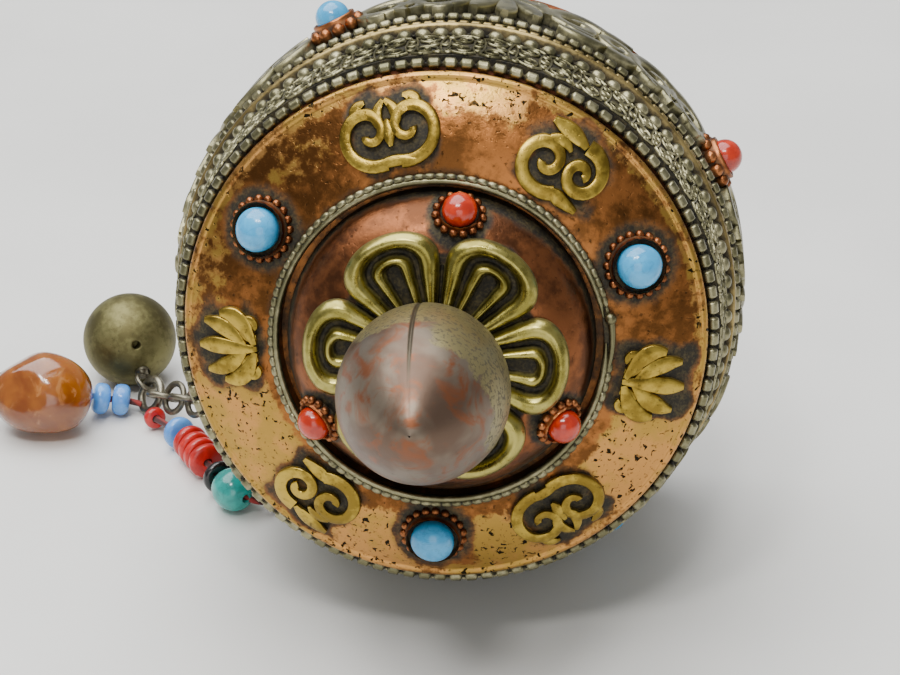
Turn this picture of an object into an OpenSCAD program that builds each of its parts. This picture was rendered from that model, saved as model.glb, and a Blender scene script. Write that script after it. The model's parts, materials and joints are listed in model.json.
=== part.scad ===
// Hand prayer wheel lying on its side, with its weight and bead strands beside it.
// The wheel is drawn upright in its own frame: z runs along the spindle towards the finial
// and z = 0 is the cap's rolled edge. lay_down() then puts it on the table. The weight and
// the strands are drawn where they lie, in a table frame whose x and y are counted from the
// point under the centre of that edge, and to_origin() moves both to the row's origin.

/* [Drum] */
// Height of the drum between its two rims
drum_h = 50; // [48:1:54]
// Outer radius of the drum shell at its rims
shell_end_r = 33.4; // [33.3:0.1:33.6]
// Outer radius of the drum shell at mid height
shell_mid_r = 36.2; // [36:0.1:36.2]
// Wall of the drum shell
shell_wall = 0.8; // [0.6:0.1:0.9]
// Outer radius of the raised relief belt
relief_r = 39.2; // [38.8:0.1:39.6]
// Height of the relief belt
relief_h = 14; // [13:0.5:14]
// Centre radius of the beads along each rim
rim_bead_ring_r = 34.65; // [34.6:0.05:34.7]
// Radius of one rim bead
rim_bead_r = 0.75; // [0.65:0.05:0.8]

/* [Cap] */
// Radius of the cap at its rolled edge
cap_r = 34; // [33.8:0.1:34]
// Height of the cap at the foot of its twisted ring
cap_rise = 5.2; // [4.6:0.1:5.6]
// Centre radius of the twisted wire ring
twist_ring_r = 21.4; // [21.2:0.1:21.6]
// Radius of the twisted wire
twist_wire_r = 0.75; // [0.6:0.05:0.8]
// Radius of the lotus rosette at its petal tips
lotus_r = 16.5; // [15.5:0.5:17]
// Radius of a turquoise on the cap
cap_stone_r = 3; // [2.6:0.1:3]
// Radius of a coral on the dome
dome_stone_r = 2.3; // [2:0.1:2.4]
// Radius of a stone on the drum's side
side_stone_r = 2.4; // [2.2:0.1:2.6]

/* [Finial] */
// Largest radius of the finial bulb
bulb_r = 10.5; // [9:0.5:11]
// Height of that largest radius above the cap's edge
bulb_mid_z = 27; // [26:0.5:28]
// Height of the finial's tip above the cap's edge
tip_z = 43; // [41:1:45]

/* [Handle] */
// Radius of the iron spindle
spindle_r = 2; // [1.8:0.1:2.2]
// Radius of the handle's foot cap
foot_r = 8.5; // [8:0.1:9]
// Length of the foot cap
foot_len = 12; // [10:1:14]
// Radius of the grip at its thickest
grip_r = 8.2; // [7.6:0.1:8.6]

/* [Weight and strands] */
// Radius of the brass weight
ball_r = 7.35; // [7:0.05:7.4]
// Radius of the cord that the beads hang on
cord_r = 0.5; // [0.4:0.05:0.5]

/* [Pose] */
// Angle that the spindle rises from the table when the wheel rests on its rim and foot
incline = 11.5; // [11:0.1:12]
// How far the drum is turned about the spindle
drum_turn = 1.8; // [1.6:0.1:2]

/* [Hidden] */
$fn = 96;
curve_steps = 8;         // straight steps in a turned curve
turn_gap = 0.05;         // radial clearance of a running fit
body_gap = 0.3;          // room between parts of different bodies
mid_z = -drum_h / 2;

// ---------- places of the ornament, as angles about the spindle ----------
cap_stone_angles = [22, 148, -93];
cap_ornament_angles = [103, 55, -12, -57, -128, -177];
dome_stone_angles = [80.5, -31, -148.5];
petal_angles = [for (i = [0:5]) -5 + 60 * i];
side_turquoise_angles = [115, -59];
side_coral_angles = [26, -156];
side_angles = concat(side_turquoise_angles, side_coral_angles);

// ---------- heights and radii that follow from the driving sizes ----------
cap_edge_roll_r = 0.7;
cap_plate_t = 0.8;
cap_inner_r = 21;                       // where the plate steps down to the dome's seat
dome_seat_z = 3.2;
dome_foot_r = 19.8;
dome_flat_r = 12;
dome_foot_z = 4;
dome_top_z = 11.5;
dome_t = 0.8;
lotus_z = dome_top_z + 0.05;
lotus_t = 1.6;
cap_stone_at_r = 26.8;
cap_stone_tilt = 18;
dome_stone_slope = 42;                  // place of a coral along the dome's quarter ellipse
socket_r = 3.2;
finial_foot_z = lotus_z + lotus_t + body_gap;
bush_r = 3.4;
shell_end_z = -1;
core_r = 3.4;
scroll_r = 29.5;
scroll_top_z = -5.5;
scroll_bottom_z = -drum_h + 2;
belt_strip_r = 37.1;
belt_bead_r = 0.6;
belt_bead_z = 7.5;                      // above and below mid height
hoop_z = -15;
hoop_half_h = 1.4;
hoop_r = 38;
inner_bead_r = 0.85;
inner_bead_z = -12.5;
filigree_top_z = -2.7;
filigree_bottom_z = -11.5;
filigree_top_r = 35.8;
filigree_bottom_r = 36.5;

// ---------- rest pose ----------
rest_rim_r = rim_bead_ring_r + rim_bead_r + 0.5;     // the base plate's rolled edge
rest_h = drum_h * sin(incline) + rest_rim_r * cos(incline);
foot_end = (rest_h - foot_r * cos(incline)) / sin(incline);   // distance behind the cap's edge
foot_end_y = foot_end * cos(incline) + foot_r * sin(incline);
tip_drop_r = 0.8;
tip_y = -(tip_z * cos(incline) + tip_drop_r);
ball_at = [-56.3, 62.8, ball_r];
origin_x = (relief_r + ball_at.x - ball_r) / 2;
origin_y = (foot_end_y + tip_y) / 2;

// ---------- chain, ring and strands, where they lie in the table frame ----------
eye_angle = 218;                        // in the lying frame, round from +x
eye_z = -43;
eye_ring_r = 2.2;
eye_wire_r = 0.6;
eye_at_r = 39.6;
link_r = 2.3;
link_wire_r = 0.5;
first_link_off = 2.9;                   // from the eye's centre, straight outwards
link_count = 7;                         // between that first link and the ring
link_off_ring = 3.3;                    // last link's centre from the ring's
ring_at = [-51, 52.3, 3.3];
ring_r = 2.5;
ring_wire_r = 0.65;
bail_r = 1.6;
bail_off_ring = 2.9;
left_route = [
  [-52.6, 52, 1.8], [-55.7, 51.7, 2.6], [-58.8, 51.2, 2.9], [-60.8, 50.4, 4],
  [-66.5, 49.8, 5.6], [-72.5, 49.8, 6.8], [-75.2, 51.2, 6.2], [-77.4, 53.8, 4.8],
  [-79.5, 56.5, 3.5], [-82.5, 59, 2.2], [-85.5, 60.5, 1.5], [-88, 61, 1.4]
];
right_route = [
  [-50.7, 50.6, 1.5], [-49.6, 47.6, 2], [-47.3, 45, 2.4], [-44.8, 42.3, 2.7],
  [-43, 40.1, 2.8], [-40.6, 36.4, 2.8], [-38.2, 32.6, 2.8], [-36.4, 29.8, 2.8],
  [-33.6, 25.8, 3.2], [-30.8, 24.6, 2.4], [-28.2, 25.4, 1.6], [-26, 27, 1.4]
];

// ---------- maths ----------
function unit(v) = v / norm(v);
function shell_r(z) = shell_end_r
  + (shell_mid_r - shell_end_r) * (1 - pow((z - mid_z) / mid_z, 2));
function cap_z(r) = cap_rise
  * (1 - pow(max(0, (r - twist_ring_r) / (cap_r - twist_ring_r)), 1.6));
function dome_point(a) = [
  dome_flat_r + (dome_foot_r - dome_flat_r) * cos(a),
  dome_foot_z + (dome_top_z - dome_foot_z) * sin(a)
];
// Catmull-Rom curve between route points i and i+1
function route_point(p, i, t) =
  let (n = len(p) - 1, a = p[max(i - 1, 0)], b = p[i], c = p[min(i + 1, n)], d = p[min(i + 2, n)])
  0.5 * (2 * b + (c - a) * t + (2 * a - 5 * b + 4 * c - d) * pow(t, 2)
         + (3 * b - a - 3 * c + d) * pow(t, 3));
function smooth_route(p, steps) = concat(
  [for (i = [0:len(p) - 2], k = [0:steps - 1]) route_point(p, i, k / steps)],
  [p[len(p) - 1]]
);
function heading(p, i) = unit(p[min(i + 1, len(p) - 1)] - p[max(i - 1, 0)]);

// ---------- placing ----------
module to_origin() translate([-origin_x, -origin_y, 0]) children();
module lying_frame() to_origin() translate([0, 0, rest_h]) rotate([90 - incline, 0, 0]) children();
module lay_down() lying_frame() rotate(drum_turn) children();
// Turns +z to direction v and moves to point p
module along(p, v) {
  translate(p) rotate([0, acos(unit(v).z), atan2(v.y, v.x)]) children();
}
module back_side() translate([0, 0, -drum_h]) mirror([0, 0, 1]) children();

// ---------- shapes used more than once ----------
module lathe(points) rotate_extrude() polygon(points);
module bead_ring(ring_radius, bead_radius, z) {
  translate([0, 0, z]) rotate_extrude() translate([ring_radius, 0]) circle(bead_radius, $fn = 24);
}
module wire_ring(ring_radius, wire_radius) {
  rotate_extrude() translate([ring_radius, 0]) circle(wire_radius, $fn = 20);
}
// A rounded stone: a short wall and a low dome, its axis along +z
module cabochon(r, wall, crown) {
  lathe(concat([[0, 0], [r, 0], [r, wall]],
    [for (k = [1:curve_steps]) [r * cos(90 * k / curve_steps), wall + crown * sin(90 * k / curve_steps)]]));
}
module bezel_cup(inner, outer, low, high) {
  difference() {
    translate([0, 0, low]) cylinder(h = high - low, r = outer);
    translate([0, 0, low - 1]) cylinder(h = high - low + 2, r = inner);
  }
}
// A drilled bead of the given profile, on the cord at point i of a route
module bead_on(route, i, radius, half_length, roundness) {
  along(route[i], heading(route, i)) difference() {
    lathe([
      [0, -half_length], [radius - roundness, -half_length],
      for (k = [1:4]) [radius - roundness * (1 - sin(18 * k)), -half_length + roundness * (1 - cos(18 * k))],
      for (k = [4:-1:1]) [radius - roundness * (1 - sin(18 * k)), half_length - roundness * (1 - cos(18 * k))],
      [radius - roundness, half_length], [0, half_length]
    ]);
    translate([0, 0, -half_length - 1]) cylinder(h = 2 * half_length + 2, r = cord_r + 0.3, $fn = 24);
  }
}
module ball_on(route, i, radius, bore = 0.8) {
  along(route[i], heading(route, i)) difference() {
    sphere(radius);
    translate([0, 0, -radius - 1]) cylinder(h = 2 * radius + 2, r = bore, $fn = 24);
  }
}
// A tube swept along a route, with a ring of points at each step
module swept_cord(route, radius, sides) {
  p = smooth_route(route, 2);
  n = len(p);
  rings = [for (i = [0:n - 1])
    let (t = heading(p, i), u = unit(cross(t, [0, 0, 1])), v = cross(u, t))
    for (k = [0:sides - 1]) p[i] + radius * (u * cos(360 * k / sides) + v * sin(360 * k / sides))];
  walls = [for (i = [0:n - 2], k = [0:sides - 1])
    [i * sides + k, i * sides + (k + 1) % sides, (i + 1) * sides + (k + 1) % sides, (i + 1) * sides + k]];
  first = [for (k = [0:sides - 1]) sides - 1 - k];
  last = [for (k = [0:sides - 1]) (n - 1) * sides + k];
  polyhedron(rings, concat([first], walls, [last]));
}

// ---------- handle body ----------
// From the drum's base outwards, as distances behind the cap's edge
washer_top = drum_h + 1.4;
ring_top = washer_top + 0.8;
ferrule_top = ring_top + 4.4;
grip_top = ferrule_top + 1;
ferrule_end = ferrule_top + 11;
grip_end = foot_end - foot_len;
function grip_profile(t) = grip_r - 1.6 * pow(cos(180 * t), 2) + 0.6 * t;

module handle_grip() color("saddlebrown") lying_frame() difference() {
  lathe(concat(
    [[0, -grip_top], [6, -grip_top], [6, -ferrule_end]],
    [for (k = [0:12]) let (t = k / 12)
      [grip_profile(t), -ferrule_end - 0.1 - t * (grip_end - ferrule_end - 0.1)]],
    [[6, -grip_end], [6, -foot_end + 1.2], [0, -foot_end + 1.2]]));
  translate([0, 0, -ferrule_end - 8]) cylinder(h = 30, r = spindle_r);
}
module handle_ferrule() color("goldenrod") lying_frame() difference() {
  union() {
    lathe([[0, -ferrule_top], [6.6, -ferrule_top], [7.4, -ferrule_top - 0.8], [7.4, -ferrule_end], [0, -ferrule_end]]);
    for (d = [2.2, 9]) bead_ring(7.3, 0.6, -ferrule_top - d);
  }
  translate([0, 0, -ferrule_end - 1]) cylinder(h = ferrule_end - grip_top + 1, r = 6);
  translate([0, 0, -ferrule_end]) cylinder(h = 20, r = spindle_r);
}
module foot_cap() color("goldenrod") lying_frame() difference() {
  translate([0, 0, -foot_end]) cylinder(h = foot_len, r = foot_r);
  translate([0, 0, -foot_end + 1.2]) cylinder(h = foot_len, r = 6);
}
module bearing_ring() color("ivory") lying_frame() difference() {
  lathe([[0, -ring_top - 0.05], [7.2, -ring_top - 0.05], [8, -ring_top - 1.2], [8, -ring_top - 3.2],
         [7.2, -ferrule_top + 0.05], [0, -ferrule_top + 0.05]]);
  translate([0, 0, -ferrule_top - 1]) cylinder(h = 8, r = spindle_r + turn_gap);
}
module thrust_washer() color("gold") lying_frame() difference() {
  translate([0, 0, -ring_top]) cylinder(h = 0.8, r = 6);
  translate([0, 0, -ring_top - 1]) cylinder(h = 4, r = spindle_r + turn_gap);
}
spindle_top = 30;
module spindle() color("dimgray") lying_frame()
  translate([0, 0, -ferrule_end - 8]) cylinder(h = ferrule_end + 8 + spindle_top, r = spindle_r);

// ---------- drum body ----------
function shell_curve(inset, z0, z1) = [for (k = [0:curve_steps * 2])
  let (z = z0 + (z1 - z0) * k / (curve_steps * 2)) [shell_r(z) - inset, z]];
module drum_shell() color("peru") lay_down()
  lathe(concat(shell_curve(0, shell_end_z, -drum_h - shell_end_z),
               shell_curve(shell_wall, -drum_h - shell_end_z, shell_end_z)));
// The base is a turned copper dish, its rolled edge standing proud of the last bead row
module base_plate() color("sienna") lay_down() difference() {
  lathe([
    [0, -drum_h + 2], [12, -drum_h + 1.8], [32.2, -drum_h + 1.8], [32.4, -drum_h + 0.7],
    [rest_rim_r - 2.1, -drum_h + 0.35], [rest_rim_r - 0.5, -drum_h + 0.25], [rest_rim_r, -drum_h],
    [rest_rim_r - 0.5, -drum_h - 0.5], [30, -drum_h - 0.2], [10, -drum_h + 0.6], [0, -drum_h + 0.8]
  ]);
  translate([0, 0, -drum_h - 2]) cylinder(h = 6, r = bush_r);
}
module lower_bush() color("gold") lay_down() difference() {
  union() {
    translate([0, 0, -drum_h - 1]) cylinder(h = 5.4, r = bush_r);
    translate([0, 0, -drum_h - 1]) cylinder(h = 1.2, r = 5);
  }
  translate([0, 0, -drum_h - 2]) cylinder(h = 9, r = spindle_r + turn_gap);
}
module core_tube() color("chocolate") lay_down() difference() {
  translate([0, 0, -drum_h + 4.5]) cylinder(h = drum_h - 4.5 - 2, r = core_r);
  translate([0, 0, -drum_h]) cylinder(h = drum_h, r = spindle_r + 0.6);
}
module prayer_scroll() color("wheat") lay_down() difference() {
  translate([0, 0, scroll_bottom_z + 0.5]) cylinder(h = scroll_top_z - scroll_bottom_z - 0.5, r = scroll_r);
  translate([0, 0, -drum_h]) cylinder(h = drum_h, r = core_r + 0.1);
  translate([0, 0, -drum_h]) cylinder(h = 5, r = 5.1);
}
module scroll_wrap() color("darkorange") lay_down() difference() {
  translate([0, 0, scroll_bottom_z + 0.5]) cylinder(h = scroll_top_z - scroll_bottom_z - 0.5, r = scroll_r + 1);
  translate([0, 0, -drum_h]) cylinder(h = drum_h, r = scroll_r + 0.05);
}
module rim_beads() bead_ring(rim_bead_ring_r, rim_bead_r, -1.45);
module rim_beads_front() color("lightgray") lay_down() rim_beads();
module rim_beads_back() color("lightgray") lay_down() back_side() rim_beads();
module filigree_band() lathe(concat(
  [[filigree_top_r, filigree_top_z], [filigree_bottom_r, filigree_bottom_z]],
  [for (k = [0:4]) let (z = filigree_bottom_z + (filigree_top_z - filigree_bottom_z) * k / 4)
    [shell_r(z) + 0.05, z]]));
module filigree_band_front() color("silver") lay_down() filigree_band();
module filigree_band_back() color("silver") lay_down() back_side() filigree_band();
module inner_beads() bead_ring(36.4, inner_bead_r, inner_bead_z);
module inner_beads_front() color("lightgray") lay_down() inner_beads();
module inner_beads_back() color("lightgray") lay_down() back_side() inner_beads();
module brass_hoop() lathe([
  [shell_r(hoop_z) + 0.15, hoop_z - hoop_half_h],
  for (k = [0:6]) let (a = -90 + 30 * k)
    [hoop_r - 0.9 + 0.9 * cos(a), hoop_z + hoop_half_h * sin(a)],
  [shell_r(hoop_z) + 0.15, hoop_z + hoop_half_h]
]);
module brass_hoop_front() color("gold") lay_down() brass_hoop();
module brass_hoop_back() color("gold") lay_down() back_side() brass_hoop();
module belt_strip() color("darkgray") lay_down() difference() {
  translate([0, 0, mid_z - belt_bead_z - 0.7]) cylinder(h = 2 * belt_bead_z + 1.4, r = belt_strip_r);
  translate([0, 0, -drum_h]) cylinder(h = drum_h, r = shell_mid_r + 0.05);
}
module belt_beads() color("lightgray") lay_down() for (s = [-1, 1])
  bead_ring(belt_strip_r + belt_bead_r + 0.02, belt_bead_r, mid_z + s * belt_bead_z);
module on_side(angle) rotate(angle) translate([0, 0, mid_z]) rotate([0, 90, 0]) children();
module relief_panels() color("silver") lay_down() difference() {
  translate([0, 0, mid_z - relief_h / 2 + 0.35]) cylinder(h = relief_h - 0.7, r = relief_r);
  translate([0, 0, -drum_h]) cylinder(h = drum_h, r = belt_strip_r + 0.05);
  for (a = side_angles) on_side(a) cylinder(h = 60, r = side_stone_r + 1.6);
}
module side_bezels() color("peru") lay_down() difference() {
  for (a = side_angles) on_side(a) difference() {
    translate([0, 0, 30]) cylinder(h = 10.2, r = side_stone_r + 0.9);
    translate([0, 0, 38.2]) cylinder(h = 10, r = side_stone_r + 0.15);
  }
  translate([0, 0, -drum_h]) cylinder(h = drum_h, r = belt_strip_r + 0.05);
}
module side_stone() translate([0, 0, 38.3]) cabochon(side_stone_r, 1.9, 2.3);
module side_turquoises() color("skyblue") lay_down() for (a = side_turquoise_angles) on_side(a) side_stone();
module side_corals() color("orangered") lay_down() for (a = side_coral_angles) on_side(a) side_stone();
// The eye is a ring standing on a small plate, soldered to the rear band
module in_eye_frame() lying_frame() translate([0, 0, eye_z]) rotate(eye_angle) children();
module drum_eye() color("tan") in_eye_frame() difference() {
  union() {
    translate([eye_at_r, 0, 0]) wire_ring(eye_ring_r, eye_wire_r);
    translate([34, 0, 0]) rotate([0, 90, 0]) cylinder(h = eye_at_r - eye_ring_r - 34 + 0.2, r = 1.9);
  }
  rotate(-eye_angle) translate([0, 0, -eye_z - drum_h + 0.01]) back_side_cone();
}
// Solid under the rear filigree band's outer face
module back_side_cone() translate([0, 0, -filigree_top_z - 0.02])
  cylinder(h = filigree_top_z - filigree_bottom_z, r1 = filigree_top_r + 0.03, r2 = filigree_bottom_r + 0.03);

// ---------- cap body ----------
function cap_curve(lift, r0, r1) = [for (k = [0:curve_steps])
  let (r = r0 + (r1 - r0) * k / curve_steps) [r, cap_z(r) + lift]];
module cap_plate() color("chocolate") lay_down() difference() {
  union() {
    lathe(concat(cap_curve(0, cap_r - cap_edge_roll_r, cap_inner_r),
      [[cap_inner_r, dome_seat_z], [6, dome_seat_z], [6, dome_seat_z - cap_plate_t],
       [cap_inner_r + cap_plate_t, dome_seat_z - cap_plate_t]],
      cap_curve(-cap_plate_t, cap_inner_r + cap_plate_t + 0.4, cap_r - cap_edge_roll_r - 0.3)));
    bead_ring(cap_r - cap_edge_roll_r, cap_edge_roll_r, 0);
    difference() {
      translate([0, 0, -4]) cylinder(h = 4.9, r = 32.3);
      translate([0, 0, -5]) cylinder(h = 8, r = 31.5);
    }
  }
  translate([0, 0, -5]) cylinder(h = 20, r = bush_r + 2.7);
}
// Everything under the cap's upper face, taken away from what is soldered on it
module under_cap() lathe(concat([[0, -3], [cap_r, -3]], cap_curve(0.02, cap_r, cap_inner_r), [[0, cap_rise]]));
module scroll_outline() {
  difference() {
    union() {
      for (s = [-1, 1]) {
        translate([0.4, 2.7 * s]) circle(2.5);
        translate([-2, 5.2 * s]) circle(1.5);
        translate([3.4, 1.5 * s]) circle(1.3);
      }
      translate([-1.4, 0]) circle(2.4);
      translate([4.3, 0]) circle(1.2);
    }
    for (s = [-1, 1]) translate([0.9, 2.7 * s]) circle(1.1);
    translate([-2.4, 0]) circle(0.8);
  }
}
module cap_ornaments() color("goldenrod") lay_down() intersection() {
  lathe(concat(cap_curve(0.95, cap_r - 1, twist_ring_r + 1), cap_curve(0.03, twist_ring_r + 1, cap_r - 1)));
  for (a = cap_ornament_angles) rotate(a) translate([27.6, 0, 0]) linear_extrude(12) scroll_outline();
}
module on_cap(angle) rotate(angle)
  translate([cap_stone_at_r, 0, cap_z(cap_stone_at_r)]) rotate([0, cap_stone_tilt, 0]) children();
module cap_bezels() color("darkkhaki") lay_down() difference() {
  for (a = cap_stone_angles) on_cap(a) difference() {
    translate([0, 0, -1.5]) cylinder(h = 3.2, r = cap_stone_r + 1);
    translate([0, 0, 0.6]) cylinder(h = 4, r = cap_stone_r + 0.1);
  }
  under_cap();
}
module cap_turquoises() color("deepskyblue") lay_down() for (a = cap_stone_angles)
  on_cap(a) translate([0, 0, 0.65]) cabochon(cap_stone_r, 1, 2.2);
module twisted_ring() color("silver") lay_down() {
  translate([0, 0, cap_rise + twist_wire_r + 0.05]) {
    rotate(12) rotate_extrude(angle = 350)
      translate([twist_ring_r, 0]) circle(twist_wire_r, $fn = 20);
    rotate(7) translate([twist_ring_r + 0.3, 0, 0]) sphere(0.9, $fn = 24);
  }
}
module cap_dome() color("sienna") lay_down() difference() {
  lathe(concat(
    [[dome_foot_r, dome_seat_z + 0.05]],
    [for (k = [0:curve_steps]) dome_point(90 * k / curve_steps)],
    [[bush_r + 0.02, dome_top_z], [bush_r + 0.02, dome_top_z - dome_t]],
    [for (k = [curve_steps:-1:0]) dome_point(90 * k / curve_steps) - [dome_t, dome_t]],
    [[dome_foot_r - dome_t, dome_seat_z + 0.05]]));
}
module on_dome(angle) {
  p = dome_point(dome_stone_slope);
  rotate(angle) translate([p.x, 0, p.y]) rotate([0, 50, 0]) children();
}
module under_dome() lathe(concat([[0, 0], [dome_foot_r + 0.03, 0]],
  [for (k = [0:curve_steps]) dome_point(90 * k / curve_steps) + [0.03, 0.03]], [[0, dome_top_z + 0.03]]));
module dome_bezels() color("peru") lay_down() difference() {
  for (a = dome_stone_angles) on_dome(a) difference() {
    translate([0, 0, -1.6]) cylinder(h = 2.6, r = dome_stone_r + 0.8);
    translate([0, 0, 0.4]) cylinder(h = 4, r = dome_stone_r + 0.1);
  }
  under_dome();
}
module dome_corals() color("tomato") lay_down() for (a = dome_stone_angles)
  on_dome(a) translate([0, 0, 0.45]) cabochon(dome_stone_r, 0.7, 2);
// Six petals round a dished centre, each with a hollow inside its raised border
module lotus_rosette() color("goldenrod") lay_down() difference() {
  translate([0, 0, lotus_z]) intersection() {
    lathe([[0, 0], [dome_flat_r - 1, 0], [lotus_r, 0.4], [lotus_r, 1.2], [11, lotus_t + 0.4], [7, lotus_t], [0, lotus_t]]);
    linear_extrude(6) {
      circle(10.5);
      for (a = petal_angles) rotate(a) translate([lotus_r - 5.4, 0]) circle(5.4);
    }
  }
  for (a = petal_angles) rotate(a) translate([lotus_r - 5, 0, lotus_z + 1]) cylinder(h = 4, r = 3.2);
  cylinder(h = 20, r = bush_r + 0.02);
}
module upper_bush() color("gold") lay_down() difference() {
  union() {
    translate([0, 0, dome_seat_z - 2]) cylinder(h = lotus_z + lotus_t - dome_seat_z + 2, r = bush_r);
    translate([0, 0, dome_top_z - dome_t - 1.05]) cylinder(h = 1, r = 5);
  }
  cylinder(h = 20, r = spindle_r + turn_gap);
}

// ---------- finial body ----------
// Lower part: quarter ellipse from the neck; upper part: a taper that starts vertical
bulb_low_h = 15.2;
function bulb_low(k) = let (z = finial_foot_z + (bulb_mid_z - finial_foot_z) * k)
  [bulb_r * sqrt(max(0, 1 - pow((bulb_mid_z - z) / bulb_low_h, 2))), z];
function bulb_high(k) = [bulb_r * (1 - pow(k, 1.55)), bulb_mid_z + (tip_z - bulb_mid_z) * k];
function bulb_profile(inset) = concat(
  [for (k = [0:curve_steps]) bulb_low(k / curve_steps) - [inset, 0]],
  [for (k = [1:curve_steps]) let (p = bulb_high(k / curve_steps * (1 - inset / 8))) [max(0, p.x - inset), p.y]]
);
module finial_bulb() color("rosybrown") lying_frame() difference() {
  union() {
    lathe(concat([[0, finial_foot_z]], bulb_profile(0)));
    translate([0, 0, tip_z - 0.6]) sphere(tip_drop_r, $fn = 24);
  }
  lathe(concat([[0, finial_foot_z + 0.8]],
    [for (p = bulb_profile(0.7)) if (p.y > finial_foot_z + 0.8 && p.y < tip_z - 3) p], [[0, tip_z - 3]]));
  translate([0, 0, finial_foot_z - 1]) cylinder(h = 3, r = socket_r + 0.02);
}
module finial_socket() color("gold") lying_frame() difference() {
  translate([0, 0, finial_foot_z]) cylinder(h = 17.5, r = socket_r);
  translate([0, 0, finial_foot_z - 1]) cylinder(h = spindle_top - finial_foot_z + 1.5, r = spindle_r + turn_gap);
}

// ---------- weight ----------
// A point of the lying wheel, given by its radius, angle and height, in the table frame
function on_table(r, angle, z) =
  let (ex = r * cos(angle), ey = r * sin(angle))
  [ex, ey * sin(incline) - z * cos(incline), rest_h + ey * cos(incline) + z * sin(incline)];
eye_tangent = unit(on_table(eye_at_r, eye_angle + 0.1, eye_z) - on_table(eye_at_r, eye_angle, eye_z));
first_link = on_table(eye_at_r + first_link_off, eye_angle, eye_z);
chain_way = unit(first_link - ring_at);
bail_way = unit(ball_at - ring_at);
ring_normal = unit(cross(chain_way, bail_way));
link_step = (norm(first_link - ring_at) - link_off_ring) / link_count;
// Neighbouring links stand at right angles; the last one stands across the ring
module weight_chain() color("darkkhaki") to_origin() {
  along(first_link, eye_tangent) wire_ring(link_r, link_wire_r);
  for (i = [0:link_count - 1])
    along(ring_at + chain_way * (link_off_ring + i * link_step),
          i % 2 == 0 ? cross(chain_way, ring_normal) : ring_normal)
      wire_ring(link_r, link_wire_r);
}
module weight_ring() color("silver") to_origin() along(ring_at, ring_normal) wire_ring(ring_r, ring_wire_r);
bail_neck = bail_off_ring + bail_r - 0.2;
module ball_bail() color("silver") to_origin() {
  along(ring_at + bail_way * bail_off_ring, cross(bail_way, ring_normal)) wire_ring(bail_r, 0.4);
  along(ring_at, bail_way) translate([0, 0, bail_neck])
    cylinder(h = norm(ball_at - ring_at) - ball_r - bail_neck + 0.6, r = 1.2);
}
module weight_ball() color("olive") to_origin() difference() {
  translate(ball_at) sphere(ball_r);
  along(ring_at, bail_way) cylinder(h = norm(ball_at - ring_at) - ball_r + 0.65, r = 1.25);
  translate(ball_at) rotate([0, 0, -55]) rotate([0, 75, 0]) cylinder(h = 20, r = 0.7);
}

// ---------- bead strands ----------
left_cord_end = len(left_route) - 1;
right_cord_end = len(right_route) - 1;
module left_cord() color("maroon") to_origin() swept_cord(left_route, cord_r, 8);
module left_blue_beads() color("lightskyblue") to_origin() for (i = [1, 2]) bead_on(left_route, i, 2.45, 1.4, 0.9);
module carnelian_nugget() color("chocolate") to_origin() difference() {
  translate([-66.5, 45.8, 6.75]) scale([1.24, 1, 1.02]) sphere(6.6, $fn = 48);
  for (i = [3, 4]) along(left_route[i], left_route[i + 1] - left_route[i])
    translate([0, 0, -1.5]) cylinder(h = 9, r = cord_r + 0.3, $fn = 24);
}
module dark_bead() color("darkslategray") to_origin() ball_on(left_route, 8, 2.9);
module knot(p) translate(p) sphere(1.3, $fn = 24);
module left_knot() color("maroon") to_origin() knot(left_route[left_cord_end]);
module right_cord() color("maroon") to_origin() swept_cord(right_route, cord_r, 8);
module red_spacer() color("red") to_origin() bead_on(right_route, 1, 1.7, 0.8, 0.4);
module right_blue_bead() color("lightskyblue") to_origin() bead_on(right_route, 3, 2.5, 1.1, 0.9);
module red_discs() color("firebrick") to_origin() {
  p = right_route;
  way = unit(p[6] - p[4]);
  for (k = [0:3]) along(p[4] + way * (0.9 + 2.1 * k), way) difference() {
    translate([0, 0, -0.75]) cylinder(h = 1.5, r = 2.7);
    translate([0, 0, -2]) cylinder(h = 4, r = cord_r + 0.25, $fn = 24);
  }
}
module black_disc() color("black") to_origin() bead_on(right_route, 7, 2.5, 0.8, 0.4);
module teal_bead() color("teal") to_origin() ball_on(right_route, 8, 3.15, 1.5);
module right_knot() color("maroon") to_origin() knot(right_route[right_cord_end]);

handle_grip();
handle_ferrule();
foot_cap();
bearing_ring();
thrust_washer();
spindle();
drum_shell();
base_plate();
lower_bush();
core_tube();
prayer_scroll();
scroll_wrap();
rim_beads_front();
rim_beads_back();
filigree_band_front();
filigree_band_back();
inner_beads_front();
inner_beads_back();
brass_hoop_front();
brass_hoop_back();
belt_strip();
belt_beads();
relief_panels();
side_bezels();
side_turquoises();
side_corals();
drum_eye();
cap_plate();
cap_ornaments();
cap_bezels();
cap_turquoises();
twisted_ring();
cap_dome();
dome_bezels();
dome_corals();
lotus_rosette();
upper_bush();
finial_bulb();
finial_socket();
weight_chain();
weight_ring();
weight_ball();
ball_bail();
left_cord();
left_blue_beads();
carnelian_nugget();
dark_bead();
left_knot();
right_cord();
red_spacer();
right_blue_bead();
red_discs();
black_disc();
teal_bead();
right_knot();
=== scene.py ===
"""A hand prayer wheel lying on a pale table, its weight and bead strands beside it.

Shapes are worked out in millimetres in the wheel's own frame, where z runs along the spindle
towards the finial and z = 0 is the cap's rolled edge, and then laid into the row frame.
"""
import json
import math

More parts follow.
